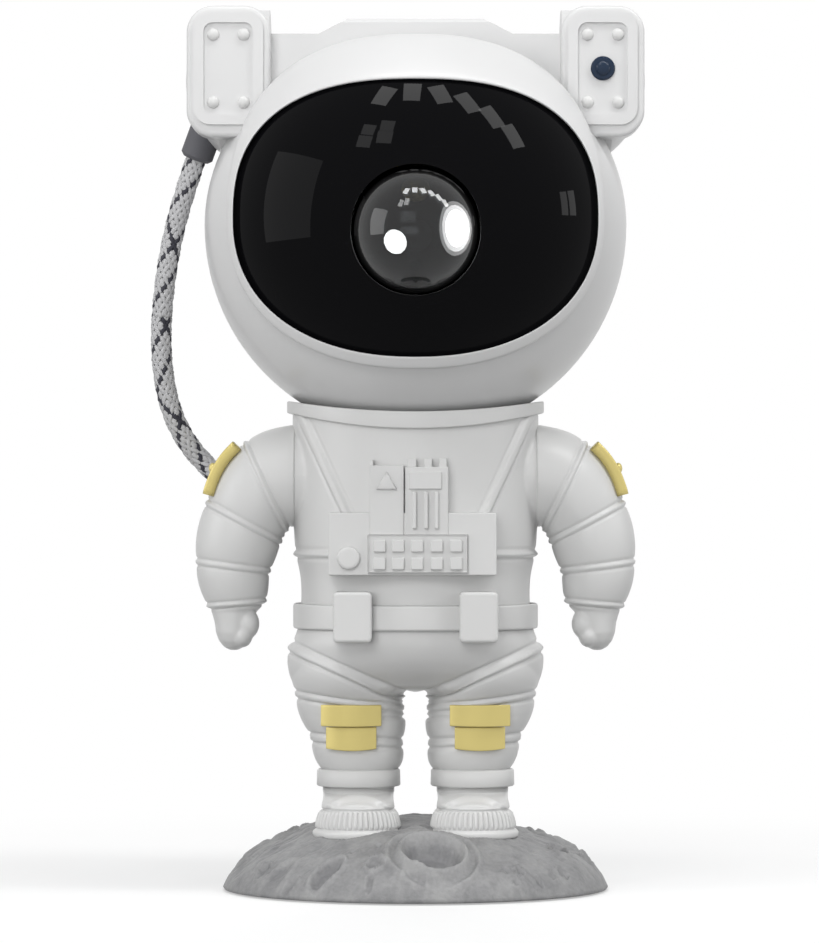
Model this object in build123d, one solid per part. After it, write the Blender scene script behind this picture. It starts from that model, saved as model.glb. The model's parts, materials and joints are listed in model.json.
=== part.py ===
from build123d import *
import os
from math import cos, pi, radians, sin, sqrt, tan

# Tabletop star and nebula projector in the shape of an astronaut on a moon-rock base.
# Millimetres. The figure faces -Y, +Z is up, and the origin is the middle of the base's underside.
# Left and right are as seen from the front: left is -X.

# ------------------------------------------------------------------ base and boots
BASE_R = 50.0            # rim of the moon rock
BASE_H = 18.0            # crown of the moon rock
BASE_LIFT = 0.4          # rim clear of the table
BASE_WALL = 2.5
HOLLOW_INSETS = (7.0, 16.0, 24.0)    # rim to the hollow at its foot, half way up and at its ceiling
PAD_R = 42.0             # anti-slip pad
PAD_T = 1.2
PLATE_T = 2.2            # bottom cover
SEAT_Z = 14.5            # flat under the boots
CRATERS = ((3.6, -38.0, 8.5, 3.2), (-28.0, -34.5, 5.2, 1.6), (-13.0, -36.5, 3.0, 1.2),
           (27.0, -36.0, 4.0, 1.4), (38.0, 12.0, 6.0, 1.8), (-36.0, 14.0, 7.0, 2.0),
           (2.0, 38.0, 8.0, 2.4))      # x, y, radius, depth

BOOT_X = 14.8            # middle of a boot and of an ankle
BOOT_R = 11.0            # round toe
HEEL_R = 10.0
TOE_Y = -12.8
HEEL_Y = 4.0
LIP_H = 2.2              # sole lip
LIP_OUT = 0.6
BAND_H = 4.8             # ribbed rubber band
TOE_CAP_H = 5.0
BOOT_H = 10.5            # seat to the top of the shaft
SHAFT_R = 9.4
SPIGOT_H = 5.0           # boot plug inside the trouser leg
SPIGOT_CLEAR = 0.7
CUFF_CLEAR = 0.1

# ------------------------------------------------------------------ legs and torso
WALL = 2.0
LEG_H = 26.3             # top of the boot to the crotch
CUFF_R = 11.2
CUFF_H = 5.7
# height over the crotch, middle |x|, radius
LEG_SECTIONS = ((-LEG_H, BOOT_X, 9.4), (-19.8, 14.8, 9.7), (-14.6, 15.4, 10.8), (-9.4, 15.8, 12.0),
                (-4.2, 16.5, 13.2), (4.0, 16.0, 13.3))
TORSO_STEP = 6.0         # between the torso's level ellipses, from the crotch up
# half width, half depth
TORSO_SECTIONS = ((30.2, 19.6), (32.1, 23.4), (32.3, 25.4), (30.2, 25.6), (29.7, 25.4), (29.9, 25.6),
                  (31.1, 26.3), (31.6, 26.6), (31.7, 26.8), (31.8, 26.9), (31.8, 27.0), (31.9, 27.0),
                  (32.0, 27.1), (32.2, 27.2))
RIDGE_OUT = 0.9          # moulded seams stand this proud
RIDGE_T = 1.8
WAIST_RIDGE = 36.0       # over the crotch
HIP_RIDGE = 12.2
HIP_SEAM_RISE = 3.4
HIP_SEAM_TILT = 26.0     # degrees, down towards the crotch
THIGH_SEAM = (-3.6, 7.0)     # height over the crotch, tilt
KNEE_SEAM = (-11.4, 4.0)
STRAP_W = 2.2
STRAP_OUT = 0.8

SHOULDER_RISE = 56.2     # shoulder axis over the crotch
SHOULDER_R = 13.3
SHOULDER_X = 32.1        # end face of the shoulder boss
PIVOT_R = 4.0            # arm pivot
PIVOT_CLEAR = 0.05
PIVOT_TUBE_R = 7.0
PIVOT_TUBE_IN = 24.5     # |x| of the tube's inner end
WASHER_R = 6.2
WASHER_T = 1.4
ARM_GAP = 0.3            # between the boss and the arm

BELT_RISE = 16.6         # belt's lower edge over the crotch
BELT_H = 6.5
BELT_OUT = 1.6
POUCH_X = 16.1
POUCH_W = 9.9
POUCH_H = 13.0
POUCH_RISE = 13.7
POUCH_FRONT = 29.6
POUCH_R = 1.3

SCREW_R = 1.4
SCREW_HEAD_R = 2.7
SCREW_HEAD_T = 1.8
BOSS_R = 3.2
BODY_SCREWS = ((14.0, 50.7), (21.5, 8.5))    # |x|, height over the crotch
BODY_SCREW_HEAD_Y = 15.0
BODY_SCREW_LENGTH = 24.0

# ------------------------------------------------------------------ chest fittings
PANEL_FRONT = 29.2       # -Y of the panel's face
PANEL_W = 42.6
PANEL_H = 16.0
PANEL_RISE = 31.0        # over the crotch
PANEL_R = 1.4
LEFT_BLOCK = (-7.2, 9.0, 12.2)       # middle x, width, height over the panel
RIGHT_BLOCK = (2.9, 10.6, 12.0)
TAB_XS = (-1.3, 3.0, 6.9)
TAB_W = 2.0
TAB_H = 2.0
TRIANGLE_R = 2.7
DISPLAY_W = 8.2
DISPLAY_H = 4.2
DISPLAY_RISE = 21.7      # over the panel's lower edge
ROD_R = 0.55
ROD_XS = (-0.3, 2.5, 5.3)
ROD_H = 9.2
ROD_RISE = 11.9
STRIP_X = 0.5
STRIP_W = 25.2
STRIP_H = 9.4
KEY_W = 2.9
KEY_H = 2.8
KEY_PITCH_X = 4.93
KEY_PITCH_Z = 4.3
KEY_OUT = 0.9
KNOB_X = -17.2
KNOB_RISE = 4.3
KNOB_R = 2.9
KNOB_T = 1.8

# ------------------------------------------------------------------ knee and shoulder patches
KNEE_X = 16.7
KNEE_UPPER = (-8.0, 15.6, 5.2)       # lower edge over the crotch, width, height
KNEE_LOWER = (-14.4, 13.1, 6.1)
KNEE_OUT = 1.5

# ------------------------------------------------------------------ arms, measured from the shoulder axis
# outward from the body's middle plane, height over the shoulder axis, tilt of the section, radius
ARM_SECTIONS = ((32.4, 0.0, 0.0, 13.3), (38.8, -2.6, 25.4, 12.0), (44.6, -12.0, 62.2, 10.6),
                (47.6, -18.0, 78.0, 10.0), (47.2, -23.5, 82.6, 9.1), (46.5, -33.2, 95.0, 7.4))
ARM_SEAMS = (1, 2, 4, 5)             # sections that carry a raised seam
SEAM_R = 0.9
HAND_HALF = (5.0, 6.2, 7.4)
HAND_AT = (47.0, -39.5)
THUMB_R = 2.6
THUMB_AT = (41.6, -37.4)
PIVOT_IN_ARM = 7.0
SHOULDER_PATCH_AT = (51.6, 2.0)
SHOULDER_PATCH_TILT = 25.5           # degrees from upright
SHOULDER_PATCH = (14.6, 15.0, 1.9)   # length, width, how far it stands proud
NUB_R = 1.5

# ------------------------------------------------------------------ head, measured from its middle
HEAD_R = 54.8
CROWN_H = 50.0           # the crown is flatter than the chin
HEAD_WALL = 2.2
HEAD_RISE = 121.1        # middle of the head over the crotch
VISOR_R = 56.0
VISOR_T = 1.8
FRAME_R = 57.3
VISOR_OPENING = (46.4, 35.0, 35.1, 2.6, 2.2)   # half width, up, down, fullness above and below
FRAME_OUTLINE = (47.8, 47.4, 37.9, 2.5, 2.2)
VISOR_UNDER_FRAME = 0.8
SHELL_UNDER_VISOR = 1.2
FRAME_BACK = 14.0        # the hood ends this far in front of the middle plane

LENS_R = 16.2
LENS_T = 1.5
LENS_DROP = 3.5          # lens axis under the head's middle
LENS_CENTRE = 49.8       # -Y of the dome's middle
LENS_FLANGE_R = 19.0
LENS_FLANGE_T = 1.5
LENS_SKIRT = 2.0
LENS_HOLE_CLEAR = 0.2

EAR_X = 48.0
EAR_DROP = 11.1          # ear boxes under the crown
EAR_W = 21.5
EAR_H = 33.7
EAR_CORNER = 6.8
EAR_FRONT = 18.0
EAR_DEPTH = 12.0
EAR_PLATE_SIDE = 1.8
EAR_PLATE_BOTTOM = 3.1
EAR_PLATE_OUT = 0.9
EAR_PLATE_CORNER = 4.4
EAR_RECESS_SIDE = 2.6
EAR_RECESS_CORNER = 2.4
RIVET_R = 1.6
RIVET_X = 3.9
RIVET_Z = 8.7
IR_R = 3.1
IR_LENS_R = 1.9
CUP_R = 18.6
CUP_IN = 38.0
CUP_EDGE = 51.0
CUP_OUT = 60.0
CUP_Y = 8.0
BRIDGE_TOP = 2.9         # over the crown
BRIDGE_STEP = 3.9
BRIDGE_HALF = 17.5
BRIDGE_CHAMFER = 7.5
BRIDGE_FRONT = 12.0
BRIDGE_BACK = 8.0

# ------------------------------------------------------------------ projection optics inside the head
BULKHEAD_Y = -24.0       # front face
BULKHEAD_T = 2.5
BARREL_T = 1.6
WHEEL_TEETH = 64
PINION_TEETH = 16
GEAR_MODULE = 0.5
WHEEL_T = 2.0
WHEEL_GAP = 1.5          # bulkhead to wheel
WHEEL_OFFSET = 8.5       # wheel axis under the lens axis
WHEEL_PIN_R = 1.5
PIN_CLEAR = 0.05
MESH_ANGLE = -20.0
MESH_CLEAR = 0.1
BEAM_R = 4.5
MOTOR_R = 6.0
MOTOR_L = 10.5
MOTOR_GAP = 1.0
SHAFT_R_MOTOR = 0.75
LED_BOARD = (46.0, 1.6, 14.0)
LED_GAP = 8.0            # wheel to LED board
LED_R = 4.0
SINK = (28.0, 14.0, 14.0)
SINK_FINS = 7
LASER_R = 4.0
LASER_L = 20.0
LASER_RISE = 13.0        # over the lens axis
HELMET_SCREWS = (33.0, 30.0)
HELMET_BOSS_R = 3.6
HELMET_SCREW_HEAD_Y = 12.0
HELMET_SCREW_LENGTH = 22.0
STEEL_PLATE_R = 16.0
STEEL_PLATE_T = 1.2

# ------------------------------------------------------------------ neck
COLLAR_GAP = 0.4         # head to cup
COLLAR_T = 2.8
COLLAR_HALF = (32.6, 27.6)
COLLAR_W = 4.5           # width of the trim ring
FLANGE_OUT = 0.8
FLANGE_T = 1.3
HUB_R = 22.5
HUB_H = 5.5
HUB_BOTTOM = 60.9        # hub underside under the head's middle
SOCKET_PLATE_T = 2.2
SOCKET_PLATE_IN = 0.8    # the socket plate enters the shells this far
RING_IN = 12.0
RING_OUT = 20.0
RING_FLOOR = 57.5        # under the head's middle
RING_GAP = 0.1
MAGNET_R = 8.0
MAGNET_T = 5.0

# ------------------------------------------------------------------ backpack, controls and hose
PACK_W = 54.0
PACK_H = 56.0
PACK_RISE = 10.7         # over the crotch
PACK_BACK = 46.0
PACK_FLOOR = 28.5
PACK_WALL = 2.0
PACK_R = 6.0
COVER_T = 2.4
PACK_SCREW_IN = 5.5
STANDOFF_R = 2.5
BOARD_Y = 34.0
BOARD_T = 1.6
BOARD_W = 40.0
BOARD_H = 34.0
BUTTON_X = 10.0
BUTTON_RISE = 36.0       # over the pack's lower edge
BUTTON_R = 4.5
BUTTON_CLEAR = 0.1
BUTTON_OUT = 1.2
BUTTON_TRAVEL = 1.0
BUTTON_FLANGE = 1.1
BUTTON_FLANGE_T = 1.5
SWITCH_SIZE = 6.0
SOCKET = (9.0, 3.3)
SOCKET_RISE = 14.5

HOSE_D = 5.8
# by hand, from the ear down behind the left shoulder into the side of the backpack
HOSE_SPLIT = (-66.75, 16.5, 149.5)
HOSE_UPPER = (HOSE_SPLIT, (-66.0, 15.0, 160.0), (-61.5, 12.0, 180.0), (-55.5, 9.5, 196.0))
HOSE_LOWER = ((-28.0, 28.5, 98.0), (-41.0, 27.5, 100.5), (-54.0, 25.0, 108.0),
              (-64.0, 21.5, 121.0), (-67.5, 18.0, 139.0), HOSE_SPLIT)
GLAND_R = 4.3
GLAND_L = 6.0

# ------------------------------------------------------------------ heights that follow
BOOT_TOP = SEAT_Z + BOOT_H
CROTCH_Z = BOOT_TOP + LEG_H
HEAD_Z = CROTCH_Z + HEAD_RISE
SHOULDER_Z = CROTCH_Z + SHOULDER_RISE
PACK_Z = CROTCH_Z + PACK_RISE
PANEL_Z = CROTCH_Z + PANEL_RISE
LENS_Z = -LENS_DROP
PLATE_TOP = PAD_T + PLATE_T
FAR = 200.0              # larger than the whole figure

HEAD = Pos(0, 0, HEAD_Z)
FRONT = Plane.XZ         # looks along -Y


# ------------------------------------------------------------------ helpers
def solid_of(shape):
    """The one solid of a boolean result, or the group where it has several."""
    solids = shape.solids()
    return solids[0] if len(solids) == 1 else Compound(children=solids)


def other_side(shape):
    return mirror(shape, about=Plane.YZ)


def front_half(shape):
    return shape & Pos(0, -FAR / 2, 0) * Box(FAR, FAR, 3 * FAR)


def rear_half(shape):
    return shape & Pos(0, FAR / 2, 0) * Box(FAR, FAR, 3 * FAR)


def rod_y(radius, y_from, y_to, x=0.0, z=0.0):
    """Cylinder along Y."""
    length = abs(y_to - y_from)
    return Pos(x, (y_from + y_to) / 2, z) * Rot(90, 0, 0) * Cylinder(radius, length)


def rod_x(radius, x_from, x_to, y=0.0, z=0.0):
    """Cylinder along X."""
    length = abs(x_to - x_from)
    return Pos((x_from + x_to) / 2, y, z) * Rot(0, 90, 0) * Cylinder(radius, length)


def block(x, y, z):
    """Box between two limits on each axis."""
    middle = Pos((x[0] + x[1]) / 2, (y[0] + y[1]) / 2, (z[0] + z[1]) / 2)
    return middle * Box(x[1] - x[0], y[1] - y[0], z[1] - z[0])


def plate_y(width, height, corner, y_from, y_to, x=0.0, z=0.0):
    """Plate that faces -Y, with rounded corners."""
    sketch = Pos(x, z) * RectangleRounded(width, height, corner)
    back = max(y_from, y_to)
    return Pos(0, back, 0) * extrude(FRONT * sketch, amount=abs(y_to - y_from))


def screw_y(x, z, head_y, length, head_r=SCREW_HEAD_R):
    """Screw along Y, driven from the back: its head lies behind head_y."""
    return rod_y(SCREW_R, head_y - length, head_y, x, z) + rod_y(head_r, head_y, head_y + SCREW_HEAD_T, x, z)


# ------------------------------------------------------------------ base
ROCK_STATIONS = ((0.0, BASE_H), (0.56 * BASE_R, BASE_H - 2.0), (0.80 * BASE_R, 0.57 * BASE_H),
                 (BASE_R, BASE_LIFT + 2.4))      # distance from the middle, height


def rock_height(reach):
    for (r0, z0), (r1, z1) in zip(ROCK_STATIONS, ROCK_STATIONS[1:]):
        if reach <= r1:
            return z0 + (z1 - z0) * (reach - r0) / (r1 - r0)
    return ROCK_STATIONS[-1][1]


def moon_profile():
    """Half outline of the rock from the middle to the rim."""
    top = Spline(*ROCK_STATIONS, tangents=((1, 0), (0.35, -1)))
    foot = BASE_LIFT
    return make_face([top, Line(top @ 1, (BASE_R, foot)), Line((BASE_R, foot), (0, foot)), Line((0, foot), top @ 0)])


def boot_outline(out=0.0):
    toe = Pos(BOOT_X, TOE_Y) * Circle(BOOT_R + out)
    heel = Pos(BOOT_X, HEEL_Y) * Circle(HEEL_R + out)
    return make_hull(toe.edges() + heel.edges())


def base_screw_places():
    return [(sx * 0.6 * BASE_R, sy * 0.36 * BASE_R) for sx in (-1, 1) for sy in (-1, 1)]


def base_screws():
    """Cover screws from below, and one long screw up into each boot."""
    screws = []
    for x, y in base_screw_places():
        head = Pos(x, y, PAD_T + SCREW_HEAD_T / 2) * Cylinder(SCREW_HEAD_R, SCREW_HEAD_T)
        shank = Pos(x, y, PAD_T + SCREW_HEAD_T + 3.0) * Cylinder(SCREW_R, 6.0)
        screws.append(head + shank)
    for x in (-BOOT_X, BOOT_X):
        top = SEAT_Z - BASE_WALL - 0.5
        head = Pos(x, 0, top - SCREW_HEAD_T / 2) * Cylinder(SCREW_HEAD_R, SCREW_HEAD_T)
        shank = Pos(x, 0, top + 5.0) * Cylinder(SCREW_R, 10.0)
        screws.append(head + shank)
    return Compound(children=[solid_of(s) for s in screws])


def moon_base(boots, screws):
    rock = revolve(FRONT * moon_profile(), Axis.Z)
    bowls = []
    for x, y, radius, depth in CRATERS:
        ball = (radius * radius + depth * depth) / (2 * depth)
        bowls.append(Pos(x, y, rock_height(sqrt(x * x + y * y)) - depth + ball) * Sphere(ball))
    rock -= bowls
    ceiling = SEAT_Z - BASE_WALL - 0.5
    low, high = PLATE_TOP, ceiling
    foot, knee, top = [BASE_R - inset for inset in HOLLOW_INSETS]
    cone = make_face(Polyline((0, low), (foot, low), (knee, (low + high) / 2), (top, high), (0, high), (0, low)))
    rock -= revolve(FRONT * cone, Axis.Z)
    rock -= Pos(0, 0, PLATE_TOP / 2) * Cylinder(BASE_R - 4.0, PLATE_TOP)
    posts = [Pos(x, y, (low + ceiling + 1) / 2) * Cylinder(BOSS_R, ceiling + 1 - low)
             for x, y in base_screw_places()]
    return rock + posts - [boots, screws]


def base_plate(screws):
    plate = Pos(0, 0, PAD_T + PLATE_T / 2) * Cylinder(BASE_R - 4.2, PLATE_T)
    return plate - screws


def base_pad():
    return Pos(0, 0, PAD_T / 2) * Cylinder(PAD_R, PAD_T)


def boot(screws):
    """Right boot: lip, ribbed band, domed toe cap, shaft and the plug that enters the leg."""
    lip = Pos(0, 0, SEAT_Z) * extrude(boot_outline(LIP_OUT), amount=LIP_H)
    band_top = SEAT_Z + LIP_H + BAND_H
    band = Pos(0, 0, SEAT_Z + LIP_H) * extrude(boot_outline(), amount=BAND_H)
    cap = scale(Sphere(1), by=(BOOT_R - 0.3, BOOT_R + 1.6, TOE_CAP_H))
    upper = Pos(BOOT_X, TOE_Y + 2.2, band_top) * cap
    shaft = loft([Pos(BOOT_X, 0, band_top - 1) * Circle(SHAFT_R + 0.9), Pos(BOOT_X, 0, BOOT_TOP) * Circle(SHAFT_R)])
    cuff = Pos(BOOT_X, 0, BOOT_TOP + CUFF_H / 2) * Cylinder(CUFF_R + CUFF_CLEAR, CUFF_H)
    spigot_r = LEG_SECTIONS[0][2] - WALL - SPIGOT_CLEAR
    spigot = Pos(BOOT_X, 0, BOOT_TOP + SPIGOT_H / 2) * Cylinder(spigot_r, SPIGOT_H)
    whole = (lip + band + upper + shaft) - cuff
    whole = (whole + spigot) - Pos(0, 0, SEAT_Z - FAR / 2) * Box(FAR, FAR, FAR)
    return whole - screws


# ------------------------------------------------------------------ body shells
def torso_solid(grow=0.0):
    """Torso through its level ellipses, grown by a distance."""
    rings = [Pos(0, 0, CROTCH_Z + index * TORSO_STEP) * Ellipse(w + grow, d + grow)
             for index, (w, d) in enumerate(TORSO_SECTIONS)]
    return loft(rings)


def leg_solid(grow=0.0):
    rings = [Pos(x, 0, CROTCH_Z + z) * Circle(r + grow) for z, x, r in LEG_SECTIONS]
    return loft(rings)


def slab(height, tilt, x=BOOT_X, thick=RIDGE_T):
    """Thin tilted slab that cuts a seam out of a grown skin on the right leg."""
    return Pos(x, 0, height) * Rot(0, -tilt, 0) * Box(2 * FAR, FAR, thick)


def ring_seams():
    """Raised seams round the waist and the hips."""
    grown = torso_solid(RIDGE_OUT)
    return [grown & slab(CROTCH_Z + height, 0.0) for height in (WAIST_RIDGE, HIP_RIDGE)]


def leg_seams():
    """Raised seams of the legs: a grown skin kept only inside thin tilted slabs."""
    grown_torso = torso_solid(RIDGE_OUT)
    grown_leg = leg_solid(RIDGE_OUT)
    right = block((0.5, FAR), (-FAR, FAR), (0, FAR))
    hip_slab = slab(CROTCH_Z + HIP_SEAM_RISE, HIP_SEAM_TILT, BOOT_X + 4.0) & right
    brief = [grown_torso & hip_slab, grown_leg & hip_slab]
    bands = [grown_leg & slab(CROTCH_Z + height, tilt) for height, tilt in (THIGH_SEAM, KNEE_SEAM)]
    cuff = Pos(BOOT_X, 0, BOOT_TOP + CUFF_H / 2) * Cylinder(CUFF_R, CUFF_H)
    cuff = fillet(cuff.edges().group_by(Axis.Z)[-1], 1.8)
    side = brief + bands + [cuff]
    return side + [other_side(seam) for seam in side]


def straps():
    """Shoulder straps, raised bands from the collar to the chest panel."""
    top = (29.6, CROTCH_Z + 72.0)
    foot = (17.9, PANEL_Z + PANEL_H)
    line = Line(foot, top)
    middle = line @ 0.5
    band = Pos(middle.X, middle.Y) * Rot(0, 0, line.tangent_angle_at(0)) * Rectangle(line.length, STRAP_W)
    right = extrude(FRONT * band, amount=FAR / 2) & torso_solid(STRAP_OUT)
    return [right, other_side(right)]


def head_ball(radius):
    return HEAD * Sphere(radius)


def body_screws():
    places = [(sx * x, CROTCH_Z + z) for x, z in BODY_SCREWS for sx in (-1, 1)]
    body = [screw_y(x, z, BODY_SCREW_HEAD_Y, BODY_SCREW_LENGTH) for x, z in places]
    pack = [screw_y(x, z, PACK_BACK + COVER_T - SCREW_HEAD_T, 12.0) for x, z in pack_corners()]
    return [solid_of(s) for s in body], [solid_of(s) for s in pack]


def body_shell():
    """The whole hollow body before it is split into its front and rear shells."""
    torso, leg = torso_solid(), leg_solid()
    boss = rod_x(SHOULDER_R, -SHOULDER_X, SHOULDER_X, 0, SHOULDER_Z)
    boss = fillet(boss.edges(), 0.8)
    outside = torso + ([leg, other_side(leg), boss] + ring_seams() + leg_seams() + straps())
    inner_leg = leg_solid(-WALL)
    inside = (torso_solid(-WALL) & block((-FAR, FAR), (-FAR, FAR), (CROTCH_Z + WALL, 2 * FAR)))
    inside = inside + [inner_leg, other_side(inner_leg)]
    cup = head_ball(HEAD_R + COLLAR_GAP + COLLAR_T)
    tubes, holes = [], [cup]
    for side in (-1, 1):
        tubes.append(rod_x(PIVOT_TUBE_R, side * PIVOT_TUBE_IN, side * (SHOULDER_X - 1.5), 0, SHOULDER_Z))
        holes.append(rod_x(PIVOT_R + PIVOT_CLEAR, side * PIVOT_TUBE_IN, side * (SHOULDER_X + 1), 0, SHOULDER_Z))
        for x, z in BODY_SCREWS:
            reach = TORSO_SECTIONS[0][1]
            post = rod_y(BOSS_R, -reach, reach, side * x, CROTCH_Z + z)
            tubes.append(post & torso_solid(-WALL / 2))
            holes.append(rod_y(SCREW_HEAD_R, BODY_SCREW_HEAD_Y, FAR / 2, side * x, CROTCH_Z + z))
    return (outside - inside) + tubes - holes


def waist_belt(torso):
    band = block((-FAR, FAR), (-FAR, FAR), (CROTCH_Z + BELT_RISE, CROTCH_Z + BELT_RISE + BELT_H))
    return (torso_solid(BELT_OUT) & band) - torso


def belt_pouch(torso, belt):
    """Right pouch, hung over the belt."""
    z = CROTCH_Z + POUCH_RISE + POUCH_H / 2
    pouch = plate_y(POUCH_W, POUCH_H, POUCH_R, -POUCH_FRONT, -10.0, POUCH_X, z)
    pouch = fillet(pouch.faces().sort_by(Axis.Y)[0].edges(), 0.9)
    return pouch - torso - belt


# ------------------------------------------------------------------ chest fittings
def chest_panel(skins):
    """Instrument panel: a wide box, two blocks above it and three tabs on top."""
    z = PANEL_Z + PANEL_H / 2
    wide = plate_y(PANEL_W, PANEL_H, PANEL_R, -PANEL_FRONT, 0.0, 0, z)
    wide = fillet(wide.faces().sort_by(Axis.Y)[0].edges(), 0.6)
    top = PANEL_Z + PANEL_H
    blocks = []
    for x, width, height in (LEFT_BLOCK, RIGHT_BLOCK):
        piece = block((x - width / 2, x + width / 2), (-PANEL_FRONT - 0.3, 0), (top - 4.0, top + height))
        blocks.append(fillet(piece.faces().sort_by(Axis.Y)[0].edges(), 0.5))
    panel = wide + blocks[0] + blocks[1]
    tab_z = top + RIGHT_BLOCK[2]
    for x in TAB_XS:
        panel += block((x - TAB_W / 2, x + TAB_W / 2), (-PANEL_FRONT + 1.0, 0), (tab_z - 1, tab_z + TAB_H))
    face_y = -PANEL_FRONT - 0.3
    mark = Pos(LEFT_BLOCK[0], top + LEFT_BLOCK[2] - 4.4) * RegularPolygon(TRIANGLE_R, 3, rotation=90)
    panel += Pos(0, face_y, 0) * extrude(FRONT * mark, amount=0.5)
    return panel - skins


def panel_face():
    return -PANEL_FRONT - 0.3


def chest_display():
    z = PANEL_Z + DISPLAY_RISE + DISPLAY_H / 2
    return plate_y(DISPLAY_W, DISPLAY_H, 0.5, panel_face(), panel_face() - 0.6, RIGHT_BLOCK[0] - 0.4, z)


def chest_rods():
    """Three slim tubes that lie on the right block and the panel."""
    rods = []
    for x in ROD_XS:
        low = PANEL_Z + ROD_RISE
        pipe = Pos(x, panel_face() - ROD_R, low + ROD_H / 2) * Cylinder(ROD_R, ROD_H)
        rods.append(solid_of(pipe))
    return Compound(children=rods)


def chest_key_strip():
    z = PANEL_Z + 0.5 + STRIP_H / 2
    return plate_y(STRIP_W, STRIP_H, 0.8, -PANEL_FRONT, -PANEL_FRONT - 0.6, STRIP_X, z)


def chest_keys():
    keys = []
    face = -PANEL_FRONT - 0.6
    for column in range(5):
        for row in range(2):
            x = STRIP_X + (column - 2) * KEY_PITCH_X
            z = PANEL_Z + 0.5 + STRIP_H / 2 + (row - 0.5) * KEY_PITCH_Z
            key = plate_y(KEY_W, KEY_H, 0.4, face, face - KEY_OUT, x, z)
            keys.append(solid_of(key))
    return Compound(children=keys)


def chest_knob():
    z = PANEL_Z + KNOB_RISE
    knob = rod_y(KNOB_R, -PANEL_FRONT, -PANEL_FRONT - KNOB_T, KNOB_X, z)
    return chamfer(knob.faces().sort_by(Axis.Y)[0].edges(), 0.4)


def knee_patches(skins):
    """Two gold guards on each knee, the upper one wider."""
    grown = leg_solid(KNEE_OUT)
    patches = []
    for rise, width, height in (KNEE_UPPER, KNEE_LOWER):
        z = CROTCH_Z + rise + height / 2
        prism = plate_y(width, height - 0.2, 1.2, -FAR / 4, -4.0, KNEE_X, z)
        patch = (prism & grown) - skins
        patch = solid_of(patch)
        patches += [patch, solid_of(other_side(patch))]
    return Compound(children=patches)


# ------------------------------------------------------------------ arms
def arm_plane(outward, height, tilt):
    """Plane of one arm section: its normal starts outward and turns down by tilt."""
    normal = (cos(radians(tilt)), 0, -sin(radians(tilt)))
    return Plane(origin=(outward, 0, SHOULDER_Z + height), z_dir=normal)


def arm(pivot):
    """Right arm: sleeve through its round sections, raised seams, hand and thumb."""
    sleeve = loft([arm_plane(o, h, t) * Circle(r) for o, h, t, r in ARM_SECTIONS])
    for index in ARM_SEAMS:
        outward, height, tilt, radius = ARM_SECTIONS[index]
        sleeve += arm_plane(outward, height, tilt) * Torus(radius, SEAM_R)
    hand = Pos(HAND_AT[0], 0, SHOULDER_Z + HAND_AT[1]) * scale(Sphere(1), by=HAND_HALF)
    thumb = Pos(THUMB_AT[0], -1.5, SHOULDER_Z + THUMB_AT[1]) * scale(Sphere(1), by=(THUMB_R - 0.6, THUMB_R, THUMB_R + 1.2))
    return sleeve + hand + thumb - pivot


def arm_pivot():
    """Right arm's pivot with the washer that holds it inside the boss."""
    outer = SHOULDER_X + ARM_GAP + PIVOT_IN_ARM
    inner = PIVOT_TUBE_IN - PIVOT_CLEAR
    pin = rod_x(PIVOT_R, inner, outer, 0, SHOULDER_Z)
    return pin + rod_x(WASHER_R, inner - WASHER_T, inner, 0, SHOULDER_Z)


def shoulder_patch(sleeve):
    """Right gold shoulder guard with its small nub."""
    length, width, proud = SHOULDER_PATCH
    outward, height = SHOULDER_PATCH_AT
    plane = Plane(origin=(outward, 0, SHOULDER_Z + height), x_dir=(0, 1, 0),
                  z_dir=(cos(radians(SHOULDER_PATCH_TILT)), 0, sin(radians(SHOULDER_PATCH_TILT))))
    guard = extrude(plane * RectangleRounded(width, length, 3.0), amount=-7.0)
    guard = fillet(guard.faces().sort_by(Axis((0, 0, 0), plane.z_dir))[-1].edges(), 0.8)
    nub = plane * Pos(0, 0.24 * length, 0.3) * Cylinder(NUB_R, 1.2)
    return guard + nub - sleeve


# ------------------------------------------------------------------ head shells
def helmet_solid(radius, crown):
    """Half ball below, flatter half ball above, about the head's middle."""
    chin = CenterArc((0, 0), radius, -90, 90)
    brow = EllipticalCenterArc((0, 0), radius, crown, start_angle=0, arc_size=90)
    return revolve(FRONT * make_face([chin, brow, Line((0, crown), (0, -radius))]), Axis.Z)


def full_oval(half, up, down, above, below, margin=0.0, quarter=4):
    """Rounded face-shaped outline: a superellipse that is fuller above than below."""
    points = []
    for index in range(4 * quarter):
        angle = 2 * pi * index / (4 * quarter)
        c, s = cos(angle), sin(angle)
        power = 2 / (above if s >= 0 else below)
        tall = (up if s >= 0 else down) + margin
        x = (half + margin) * abs(c) ** power * (1 if c >= 0 else -1)
        points.append((x, tall * abs(s) ** power * (1 if s >= 0 else -1)))
    return make_face(Spline(*points, periodic=True))


def head_prism(outline):
    """Everything in front of the head's middle plane inside an outline."""
    return extrude(FRONT * outline, amount=FAR / 2)


def visor_band(inner, outer, margin):
    prism = head_prism(full_oval(*VISOR_OPENING, margin=margin))
    return prism & (Sphere(outer) - Sphere(inner))


def lens_rod(radius, y_from, y_to):
    return rod_y(radius, y_from, y_to, 0, LENS_Z)


def visor():
    glass = visor_band(VISOR_R - VISOR_T, VISOR_R, VISOR_UNDER_FRAME)
    return glass - lens_rod(LENS_R + LENS_HOLE_CLEAR, -FAR / 2, 0)


def visor_frame(helmet, ears):
    """Bright hood round the visor: it laps over the visor's edge and runs back to the helmet."""
    hood = head_prism(full_oval(*FRAME_OUTLINE)) & Sphere(FRAME_R)
    hood -= block((-FAR, FAR), (-FRAME_BACK, FAR), (-FAR, FAR))
    hood -= helmet
    hood -= visor_band(0.01, VISOR_R, VISOR_UNDER_FRAME)
    hood -= head_prism(full_oval(*VISOR_OPENING))
    return hood - ears


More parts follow.
